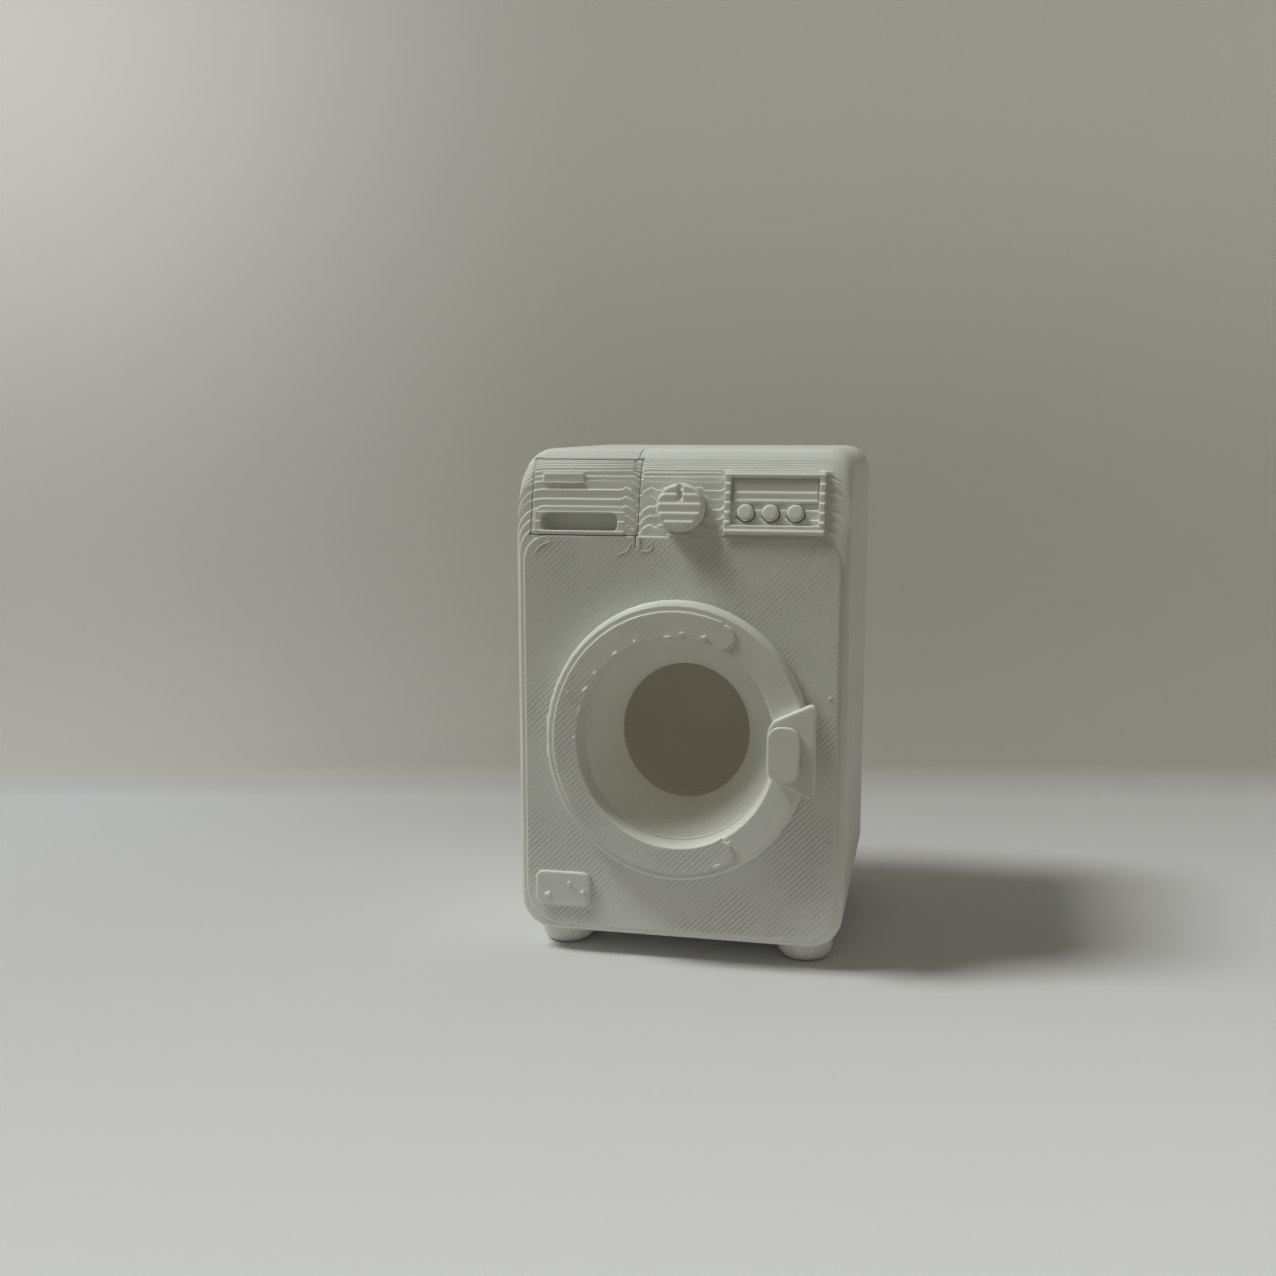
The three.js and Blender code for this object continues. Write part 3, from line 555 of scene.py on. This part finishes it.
def make_filament_tone():
    group, given, out = new_group(
        "filament_tone",
        [("Colour", "NodeSocketColor", (0.9, 0.905, 0.875, 1)), ("Valley", "NodeSocketFloat", 0.0),
         ("Sheen", "NodeSocketFloat", 0.45)],
        [("Colour", "NodeSocketColor"), ("Roughness", "NodeSocketFloat"), ("Grain", "NodeSocketFloat")])
    place = group.nodes.new("ShaderNodeTexCoord")
    clouds = noise(group, place.outputs["Object"], CLOUD_SCALE, 3)
    grain = noise(group, place.outputs["Object"], GRAIN_SCALE, 2)
    fine_shade = maths(group, "MULTIPLY", grain, 0.03)
    shade = maths(group, "ADD", maths(group, "MULTIPLY", clouds, 0.06), fine_shade)
    # Painted shade: the colour is made darker in the valleys between the top lines.
    dark = maths(group, "MULTIPLY", given.outputs["Valley"], VALLEY_SHADE)
    factor = maths(group, "SUBTRACT", maths(group, "SUBTRACT", 1.03, shade), dark)
    tint = group.nodes.new("ShaderNodeMix")
    tint.data_type = "RGBA"
    tint.blend_type = "MULTIPLY"
    tint.inputs["Factor"].default_value = 1.0
    group.links.new(given.outputs["Colour"], tint.inputs["A"])
    grey = group.nodes.new("ShaderNodeCombineColor")
    for channel in ("Red", "Green", "Blue"):
        group.links.new(factor, grey.inputs[channel])
    group.links.new(grey.outputs["Color"], tint.inputs["B"])
    group.links.new(tint.outputs["Result"], out.inputs["Colour"])
    rough = maths(group, "ADD", given.outputs["Sheen"], maths(group, "MULTIPLY", clouds, 0.16))
    group.links.new(rough, out.inputs["Roughness"])
    group.links.new(grain, out.inputs["Grain"])
    return group


top_lines = make_top_lines()
layer_lines = make_layer_lines()
filament_tone = make_filament_tone()
print("node groups:", [g.name for g in bpy.data.node_groups])


# %% [markdown]
# ## The finishes themselves
# One filament, used on faces with different top lines: the cabinet's front and the door's front layers
# both have rising lines, and the inner pieces only show their layers. Daylight also comes through
# the thin white walls into the drum, so the inner finish glows very faintly.

# %% Finishes
GRAIN_DEPTH = 0.006
LAYER_LINE_DEPTH = 0.05


def use_group(tree, group, **values):
    node = tree.nodes.new("ShaderNodeGroup")
    node.node_tree = group
    for name, value in values.items():
        node.inputs[name].default_value = value
    return node


def add_bump(tree, height, depth, below=None):
    node = tree.nodes.new("ShaderNodeBump")
    node.inputs["Strength"].default_value = 1.0
    node.inputs["Distance"].default_value = depth * MM
    tree.links.new(height, node.inputs["Height"])
    if below:
        tree.links.new(below, node.inputs["Normal"])
    return node.outputs["Normal"]


def make_filament(name, colour, sheen, slope=None, evenness=0.25, last=0.0, layered=False, depth=0.04):
    material = bpy.data.materials.new(name)
    material.use_nodes = True
    tree = material.node_tree
    shader = tree.nodes["Principled BSDF"]
    shader.inputs["IOR"].default_value = 1.46
    shader.inputs["Specular IOR Level"].default_value = 0.45
    shader.inputs["Subsurface Weight"].default_value = 0.25
    shader.inputs["Subsurface Radius"].default_value = (1.0, 0.95, 0.8)
    shader.inputs["Subsurface Scale"].default_value = 0.0005
    tone = use_group(tree, filament_tone, Colour=(*colour, 1), Sheen=sheen)
    tree.links.new(tone.outputs["Colour"], shader.inputs["Base Color"])
    tree.links.new(tone.outputs["Roughness"], shader.inputs["Roughness"])
    normal = add_bump(tree, tone.outputs["Grain"], GRAIN_DEPTH)
    if slope is not None:
        lines = use_group(tree, top_lines, Slope=slope, Evenness=evenness)
        lines.inputs["Last Layer"].default_value = last * MM
        tree.links.new(lines.outputs["Valley"], tone.inputs["Valley"])
        normal = add_bump(tree, lines.outputs["Height"], depth, normal)
    if layered:
        lines = use_group(tree, layer_lines)
        normal = add_bump(tree, lines.outputs["Height"], LAYER_LINE_DEPTH, normal)
    tree.links.new(normal, shader.inputs["Normal"])
    return material


WHITE = (0.86, 0.875, 0.825)
door_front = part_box("door_ring")[0].y / MM
shell_finish = make_filament("printed_shell", WHITE, 0.42, slope=1, last=front_plane)
door_finish = make_filament("printed_door", WHITE, 0.4, slope=1, evenness=0.12, last=door_front + 0.3)
small_finish = make_filament("printed_small", WHITE, 0.38)
inner_finish = make_filament("printed_inner", WHITE, 0.5)
inner_shader = inner_finish.node_tree.nodes["Principled BSDF"]
inner_shader.inputs["Emission Color"].default_value = (1.0, 0.86, 0.6, 1)
inner_shader.inputs["Emission Strength"].default_value = 0.02
layered_finish = make_filament("printed_inner_layered", WHITE, 0.5, layered=True)


# %% [markdown]
# ## Steel wire
# The hinge pin is drawn wire. Its noise is stretched along the pin, which gives fine draw marks.

# %% Drawn steel wire for the hinge pin
DRAW_STRETCH = 0.05


def make_steel():
    material = bpy.data.materials.new("steel_wire")
    material.use_nodes = True
    tree = material.node_tree
    shader = tree.nodes["Principled BSDF"]
    shader.inputs["Metallic"].default_value = 1.0
    place = tree.nodes.new("ShaderNodeTexCoord")
    stretch = tree.nodes.new("ShaderNodeMapping")
    stretch.inputs["Scale"].default_value = (1, 1, DRAW_STRETCH)
    tree.links.new(place.outputs["Object"], stretch.inputs["Vector"])
    draw_marks = noise(tree, stretch.outputs["Vector"], 9000, 2)
    rough = maths(tree, "ADD", 0.22, maths(tree, "MULTIPLY", draw_marks, 0.2))
    tree.links.new(rough, shader.inputs["Roughness"])
    ramp = tree.nodes.new("ShaderNodeValToRGB")
    ramp.color_ramp.elements[0].color = (0.5, 0.5, 0.5, 1)
    ramp.color_ramp.elements[1].color = (0.75, 0.75, 0.74, 1)
    tree.links.new(draw_marks, ramp.inputs["Fac"])
    tree.links.new(ramp.outputs["Color"], shader.inputs["Base Color"])
    return material


steel_finish = make_steel()

# %% [markdown]
# ## Cabinet
# The shell is 150 layers deep. Its leaning panel crosses about ten of them, which is why the real toy
# shows contour lines there. The upright groove beside the drawer is wider at the surface than in the
# CAD solid, because the nozzle can't turn a square corner: it is cut as a wedge that follows the slope
# and is then spun over the crown.

# %% A wedge that follows the panel and the crown
slope_up = Vector((0, math.sin(PANEL_LEAN), math.cos(PANEL_LEAN)))
crown_height = toy_top - CROWN_RADIUS
panel_end = crown_height + CROWN_RADIUS * math.sin(PANEL_LEAN)
crown_depth = (panel_end - panel_foot) * math.tan(PANEL_LEAN) + CROWN_RADIUS * math.cos(PANEL_LEAN)
slope_length = (panel_end - panel_foot) / math.cos(PANEL_LEAN)


print("the panel is", round(slope_length, 2), "mm long up its slope")


def panel_bar(x, half_width, half_thickness, start, end, over_crown):
    foot = Vector((x, front_plane, panel_foot)) + slope_up * start
    clear_selection()
    bpy.ops.mesh.primitive_circle_add(vertices=4, radius=1, fill_type="NGON", location=foot,
                                      rotation=(-PANEL_LEAN, 0, 0))
    bar = bpy.context.view_layer.objects.active
    bar.scale = (half_width, half_thickness, 1)
    bpy.ops.object.transform_apply(location=True, rotation=True, scale=True)
    bpy.ops.object.mode_set(mode="EDIT")
    bpy.ops.mesh.select_all(action="SELECT")
    bpy.ops.mesh.extrude_region_move(TRANSFORM_OT_translate={"value": slope_up * (end - start)})
    if over_crown:
        bpy.ops.mesh.spin(steps=8, angle=math.pi / 2 - PANEL_LEAN, axis=(1, 0, 0),
                          center=(0, front_plane + crown_depth, crown_height))
        bpy.ops.mesh.extrude_region_move(TRANSFORM_OT_translate={"value": (0, 1.5, 0)})
    bpy.ops.mesh.select_all(action="SELECT")
    bpy.ops.mesh.remove_doubles(threshold=0.001)
    bpy.ops.mesh.normals_make_consistent(inside=False)
    bpy.ops.object.mode_set(mode="OBJECT")
    return bar


# %% [markdown]
# ## Groove and bulges
# The groove is a wide shallow wedge with a low ridge beside it, and a short slit runs on below it. The
# layers' outlines bend round the dial and the frame, so both get a bulge only 0.06 to 0.09 mm high. The
# holes for the frame's pegs are filled in this visible copy.

# %% Groove
GROOVE_X = -4.15
GROOVE_HALF = 0.7
GROOVE_DEEP = 0.13
RIDGE_AWAY = 1.25
RIDGE_HALF = 0.55
RIDGE_HIGH = 0.06
SLIT_HALF = 0.13
SLIT_DEEP = 0.45


def with_groove(solid, side):
    ridge_x = GROOVE_X + side * RIDGE_AWAY
    fuse(solid, panel_bar(GROOVE_X, GROOVE_HALF, GROOVE_DEEP, 0.05, slope_length, True), "DIFFERENCE")
    fuse(solid, panel_bar(GROOVE_X - 0.15, SLIT_HALF, SLIT_DEEP, -1.2, 0.4, False), "DIFFERENCE")
    fuse(solid, panel_bar(ridge_x, RIDGE_HALF, RIDGE_HIGH, 0.3, slope_length - 0.2, False))
    return solid


# %% Bulges round the dial and beside the frame
DIAL = (0.2, 2.75, 2.35)
DIAL_HOLE = 1.07
DIAL_BULGE = 0.45
BULGE_HIGH = 0.06
FRAME_SIDES = (4.4, 13.9)
FLANK_HALF = 0.5
FLANK_HIGH = 0.09
PEG_FILL = 0.6
PEG_PLACES = [(x, rise) for x in (4.7, 13.6) for rise in (0.8, 6.05)]


def panel_disc(x, rise, radius, low, high):
    normal = Vector((0, -math.cos(PANEL_LEAN), math.sin(PANEL_LEAN)))
    place = Vector((x, front_plane, panel_foot)) + slope_up * rise + normal * (low + high) / 2
    clear_selection()
    bpy.ops.mesh.primitive_cylinder_add(vertices=48, radius=radius, depth=high - low, location=place,
                                        rotation=(math.pi / 2 - PANEL_LEAN, 0, 0))
    disc = bpy.context.view_layer.objects.active
    bpy.ops.object.transform_apply(location=True, rotation=True, scale=True)
    return disc


def with_bulges(solid):
    x, rise, radius = DIAL
    fuse(solid, panel_disc(x, rise, radius + DIAL_BULGE, -0.4, BULGE_HIGH))
    fuse(solid, panel_disc(x, rise, DIAL_HOLE, -2, 1), "DIFFERENCE")
    for side in FRAME_SIDES:
        fuse(solid, panel_bar(side, FLANK_HALF, FLANK_HIGH, 0.2, 6.5, False))
    for x, rise in PEG_PLACES:
        fuse(solid, panel_disc(x, rise, PEG_FILL, -0.9, -0.02))
    return solid


# %% [markdown]
# ## Traces of the nozzle
# Where the nozzle starts, turns or lets go, it leaves a small drop or a curl of plastic. Each trace is a
# thin round bead along a few points, made as a curve with a bevel and turned into a mesh. A trace is
# written as its radius and then its points across and up the front, in millimetres.

# %% Beads
BEAD_SINK = 0.03


def bead_line(points, radius):
    data = bpy.data.curves.new("bead", "CURVE")
    data.dimensions = "3D"
    data.bevel_depth = radius
    data.bevel_resolution = 2
    data.use_fill_caps = True
    line = data.splines.new("NURBS")
    line.points.add(len(points) - 1)
    for point, place in zip(line.points, points):
        point.co = (*place, 1)
    line.order_u = min(3, len(points))
    line.use_endpoint_u = True
    line.resolution_u = 4
    bead = bpy.data.objects.new("bead", data)
    bpy.context.scene.collection.objects.link(bead)
    pick(bead)
    bpy.ops.object.convert(target="MESH")
    bpy.ops.object.mode_set(mode="EDIT")
    bpy.ops.mesh.select_all(action="SELECT")
    bpy.ops.mesh.remove_doubles(threshold=0.001)
    bpy.ops.mesh.normals_make_consistent(inside=False)
    bpy.ops.object.mode_set(mode="OBJECT")
    return bead


def trace_beads(node, traces):
    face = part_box(node)[0].y / MM + BEAD_SINK
    beads = [bead_line([(x, face, z) for x, z in places], radius) for radius, *places in traces]
    print(node, "gets", len(beads), "beads, all closed:", all(is_closed(bead) for bead in beads))
    return beads


def with_traces(piece, node, traces):
    for bead in trace_beads(node, traces):
        fuse(piece, bead)
    return piece


# %% [markdown]
# ## The cabinet and the drawer front
# The traces on the front stay a piece of their own, because fusing them on would spoil the flat shading
# of the broad front face.

# %% Cabinet piece
FRONT_TRACES = (
    (0.1, (-3.85, 42.6), (-3.95, 41.6), (-3.6, 41.25), (-2.9, 41.2), (-2.55, 41.6), (-2.5, 42.3)),
    (0.08, (-3.3, 42.1), (-3.25, 41.7), (-2.95, 41.75), (-2.9, 42.0)),
    (0.08, (-6.1, 40.9), (-5.4, 41.0), (-4.9, 41.4), (-4.75, 41.9)),
    (0.08, (13.1, 41.8), (13.6, 42.2), (14.15, 41.8), (13.9, 41.3), (13.45, 41.6)),
    (0.08, (-14.4, 40.8), (-14.0, 41.6), (-13.3, 41.8), (-12.8, 42.05)),
    (0.17, (14.75, 27.4), (14.85, 27.6)),
)
cabinet = layer_stack(with_groove(with_bulges(solid_copy("cabinet")), 1))
finish_piece(cabinet, "cabinet_printed", "cabinet", shell_finish)
front_traces = joined(trace_beads("cabinet", FRONT_TRACES))
finish_piece(front_traces, "front_traces", "cabinet", small_finish)

# %% Drawer front
DRAWER_WIDER = 0.12
drawer_front = layer_stack(with_groove(widen(solid_copy("drawer_front"), DRAWER_WIDER), -1))
finish_piece(drawer_front, "drawer_front_printed", "drawer_front", shell_finish)

# %% [markdown]
# ## Everything else that was printed
# The door, its handle, the seal's funnel, the drum, the dial, the frame with its buttons, the feet and
# the back cover go through the same slicer. The layers run parallel to the front in all of them. The
# buttons are the exception: cut into layers they would touch the strip behind them when pressed, so
# they are only melted.

# %% Finish and slot of each piece
printed = {
    "door_ring": (door_finish, "printed_door"),
    "door_handle": (small_finish, "printed_door"),
    "handle_pad": (small_finish, "printed_door"),
    "door_seal": (inner_finish, "printed_inner"),
    "drum": (inner_finish, "printed_inner"),
    "drum_axle": (inner_finish, "printed_inner"),
    "axle_cap": (small_finish, "printed_small"),
    "back_cover": (shell_finish, "printed_shell"),
    "drawer_tray": (inner_finish, "printed_inner"),
    "dial_knob": (small_finish, "printed_small"),
    "display_frame": (small_finish, "printed_small"),
    "display_pane": (small_finish, "printed_small"),
    "button_1": (small_finish, "printed_small"),
    "button_2": (small_finish, "printed_small"),
    "button_3": (small_finish, "printed_small"),
    "filter_cover": (small_finish, "printed_small"),
    "foot_front_left": (shell_finish, "printed_shell"),
    "foot_front_right": (shell_finish, "printed_shell"),
    "foot_rear_left": (shell_finish, "printed_shell"),
    "foot_rear_right": (shell_finish, "printed_shell"),
}
BUTTONS = ("button_1", "button_2", "button_3")
print(len(printed), "more printed pieces,", len(BUTTONS), "of them buttons")

# %% Traces on the door ring and the filter cover
TRACES = {
    "door_ring": (
        (0.13, (-4.0, 32.6), (-3.7, 32.8)),
        (0.15, (-6.0, 31.3), (-5.6, 31.6)),
        (0.13, (-7.9, 29.4), (-7.7, 29.6)),
        (0.15, (-9.0, 27.6), (-8.6, 28.0)),
        (0.16, (-10.0, 22.9), (-9.9, 23.0)),
        (0.1, (-1.0, 33.2), (-0.4, 33.3)),
        (0.1, (0.5, 33.6), (0.9, 33.7)),
        (0.12, (2.7, 33.3), (3.1, 33.4)),
        (0.1, (-10.7, 27.4), (-10.5, 27.5)),
        (0.1, (-9.5, 25.4), (-9.4, 25.9)),
        (0.1, (5.4, 13.1), (5.6, 13.4)),
        (0.09, (4.0, 10.7), (4.6, 11.0)),
    ),
    "filter_cover": (
        (0.13, (-13.5, 6.1), (-13.0, 6.3)),
        (0.15, (-11.1, 7.5), (-10.9, 7.4)),
        (0.12, (-9.7, 6.5), (-9.5, 6.7)),
    ),
}

# %% [markdown]
# ## How each piece departs from the rule
# OWN_LAYER holds thicknesses in millimetres for pieces whose depth isn't a whole number of layers, and
# for the drum, which gets coarser steps. WIDER is in millimetres on each side. MELTED holds the voxel
# size and the rounds of smoothing.

# %% The other printed pieces
OWN_LAYER = {"handle_pad": 0.175, "back_cover": 0.19, "drum": 0.4}
CAP_REACH = 0.9
WIDER = {"button_1": 0.1, "button_2": 0.1, "button_3": 0.1, "display_pane": 0.12, "display_frame": 0.06,
         "filter_cover": 0.04}
MELTED = {"button_1": (0.05, 4), "button_2": (0.05, 4), "button_3": (0.05, 4), "display_pane": (0.07, 2),
          "display_frame": (0.06, 4), "filter_cover": (0.07, 4), "handle_pad": (0.06, 4),
          "dial_knob": (0.06, 4), "door_handle": (0.07, 3)}
for node, (finish, slot) in printed.items():
    reach = CAP_REACH if node in BUTTONS else WHOLE_DEPTH
    piece = widen(solid_copy(node), WIDER.get(node, 0), reach)
    if node not in BUTTONS:
        start = depth_range(piece)[0] if node in OWN_LAYER else None
        piece = layer_stack(piece, OWN_LAYER.get(node, LAYER), start)
    if node in TRACES:
        with_traces(piece, node, TRACES[node])
    if node in MELTED:
        melt(piece, *MELTED[node])
    finish_piece(piece, node + "_printed", node, finish)

# %% [markdown]
# ## Pieces that keep their plain solid
# What sits behind the panel is never seen from outside. It keeps its CAD solid, and the layers are in
# its finish.

# %% Hidden pieces
for node in ("hinge_plate", "drawer_guide", "dial_collar", "button_keeper"):
    nodes[node].data.materials.clear()
    nodes[node].data.materials.append(layered_finish)
nodes["hinge_pin"].data.materials.clear()
nodes["hinge_pin"].data.materials.append(steel_finish)

# %% [markdown]
# ## Stage and light
# A sheet of pale paper lies on the table and bends up behind the toy. Its back is clear, so that the
# toy can be looked at from behind too. Daylight comes from the upper left and only just grazes the
# front, so the crown is bright and the front stays in half shade.

# %% Stage
PAPER_WIDE = 1.6
WALL_HIGH = 0.7
WALL_AWAY = 0.202
FOLD_RADIUS = 0.004
WALL_WAY = Vector((-math.sin(camera.rotation_euler.z), math.cos(camera.rotation_euler.z), 0))
wall_foot = Vector((camera.location.x, camera.location.y, 0)) + WALL_WAY * WALL_AWAY
clear_selection()
bpy.ops.mesh.primitive_plane_add(size=1, location=(0, 0, 0))
paper = bpy.context.view_layer.objects.active
paper.name = "paper_backdrop"
paper.scale = (PAPER_WIDE, 1.0, 1)
paper.rotation_euler = (0, 0, camera.rotation_euler.z)
paper.location = wall_foot - WALL_WAY * 0.5
bpy.ops.object.transform_apply(location=True, rotation=True, scale=True)
bpy.ops.object.mode_set(mode="EDIT")
bpy.ops.mesh.select_mode(type="EDGE")
pick_edges(paper, lambda middle: (middle - wall_foot).dot(WALL_WAY) > -0.01)
bpy.ops.mesh.extrude_region_move(TRANSFORM_OT_translate={"value": (0, 0, WALL_HIGH)})
pick_edges(paper, lambda middle: (middle - wall_foot).length < 0.001)
bpy.ops.mesh.bevel(offset=FOLD_RADIUS, segments=8, affect="EDGES")
bpy.ops.object.mode_set(mode="OBJECT")
bpy.ops.object.shade_smooth()
print("the wall stands", round(WALL_AWAY / MM), "mm from the camera")

# %% [markdown]
# ## The paper's finish, with painted light
# The photographed paper is brighter at the upper left. The front of the toy, though, gets little light
# back from the floor. So the camera and reflections see the pale floor, while light that bounces off it
# in front of the toy finds it darker. The back of the paper is clear.

# %% Paper
LIT_WALL = (0.97, 0.97, 0.95)
SHADED_WALL = (0.9, 0.89, 0.83)
LIT_FLOOR = (0.93, 0.94, 0.97)
SHADED_FLOOR = (0.73, 0.725, 0.735)
BOUNCE = (0.2, 0.19, 0.165)
PAINTED_GLOW_COLOUR = (1.0, 0.98, 0.93)


# Painted light: the wall is painted lighter towards the left, and the floor lighter towards the left and
# the back.
def paper_colour_with_painted_light(tree, x, y, left, upright):
    wall = colour_mix(tree, soft_step(tree, x, -0.14, 0.03), LIT_WALL, SHADED_WALL)
    lit = maths(tree, "MULTIPLY", left, soft_step(tree, y, -0.05, 0.03))
    floor = colour_mix(tree, lit, SHADED_FLOOR, LIT_FLOOR)
    return colour_mix(tree, upright, floor, wall)


# Painted light: the wall glows for the camera only, more towards the top and the left.
def painted_wall_light(tree, z, left, upright):
    up = soft_step(tree, z, 0.025, 0.11)
    corner = maths(tree, "MULTIPLY", left, maths(tree, "ADD", 0.1, maths(tree, "MULTIPLY", up, 0.17)))
    sky = maths(tree, "ADD", maths(tree, "MULTIPLY", up, 0.11), corner)
    return maths(tree, "MULTIPLY", sky, upright)


def make_paper():
    material = bpy.data.materials.new("pale_paper")
    material.use_nodes = True
    tree = material.node_tree
    shader = tree.nodes["Principled BSDF"]
    shader.inputs["Roughness"].default_value = 0.8
    shader.inputs["Specular IOR Level"].default_value = 0.2
    shader.inputs["Emission Color"].default_value = (*PAINTED_GLOW_COLOUR, 1)
    place = tree.nodes.new("ShaderNodeTexCoord")
    split = tree.nodes.new("ShaderNodeSeparateXYZ")
    tree.links.new(place.outputs["Object"], split.inputs[0])
    x, y, z = split.outputs
    left = maths(tree, "SUBTRACT", 1, soft_step(tree, x, -0.11, -0.02))
    upright = soft_step(tree, z, 0.0, 0.004)
    ray = tree.nodes.new("ShaderNodeLightPath")
    looked_at = maths(tree, "MAXIMUM", ray.outputs["Is Camera Ray"], ray.outputs["Is Glossy Ray"])
    behind_front = soft_step(tree, y, front_plane * MM - 0.035, front_plane * MM - 0.003)
    seen = maths(tree, "MAXIMUM", looked_at, behind_front)
    shown = colour_mix(tree, seen, BOUNCE, paper_colour_with_painted_light(tree, x, y, left, upright))
    tree.links.new(shown, shader.inputs["Base Color"])
    # Painted light: the wall's glow is seen by camera rays only.
    glow = maths(tree, "MULTIPLY", painted_wall_light(tree, z, left, upright), ray.outputs["Is Camera Ray"])
    tree.links.new(glow, shader.inputs["Emission Strength"])
    clear = tree.nodes.new("ShaderNodeBsdfTransparent")
    side_seen = tree.nodes.new("ShaderNodeNewGeometry")
    both = tree.nodes.new("ShaderNodeMixShader")
    tree.links.new(side_seen.outputs["Backfacing"], both.inputs["Fac"])
    tree.links.new(shader.outputs["BSDF"], both.inputs[1])
    tree.links.new(clear.outputs["BSDF"], both.inputs[2])
    tree.links.new(both.outputs["Shader"], tree.nodes["Material Output"].inputs["Surface"])
    return material


paper_finish = make_paper()
paper.data.materials.append(paper_finish)

# %% Table under the paper
TABLE_SIZE = 3
TABLE_DROP = 0.0003
clear_selection()
bpy.ops.mesh.primitive_grid_add(x_subdivisions=4, y_subdivisions=4, size=TABLE_SIZE,
                                location=(0, 0, -TABLE_DROP))
table = bpy.context.view_layer.objects.active
table.name = "table_under_paper"
bpy.ops.object.transform_apply(location=True, rotation=True, scale=True)
table.data.materials.append(paper_finish)
print("stage:", paper.name, "and", table.name)

# %% Daylight and room light
LIGHT_WAY = Vector((0.55, 0.09, -0.83))
sun_data = bpy.data.lights.new("window", "SUN")
sun_data.energy = 2.75
sun_data.angle = math.radians(20)
sun_data.color = (0.97, 1.0, 0.965)
sun = bpy.data.objects.new("window", sun_data)
sun.rotation_euler = LIGHT_WAY.to_track_quat("-Z", "Y").to_euler()
bpy.context.scene.collection.objects.link(sun)
world = bpy.data.worlds.new("room")
world.use_nodes = True
world.node_tree.nodes["Background"].inputs["Color"].default_value = (1.0, 0.94, 0.8, 1)
world.node_tree.nodes["Background"].inputs["Strength"].default_value = 0.14
bpy.context.scene.world = world
bpy.context.scene.view_settings.view_transform = "Standard"
print("light:", sun.name, "and", world.name)
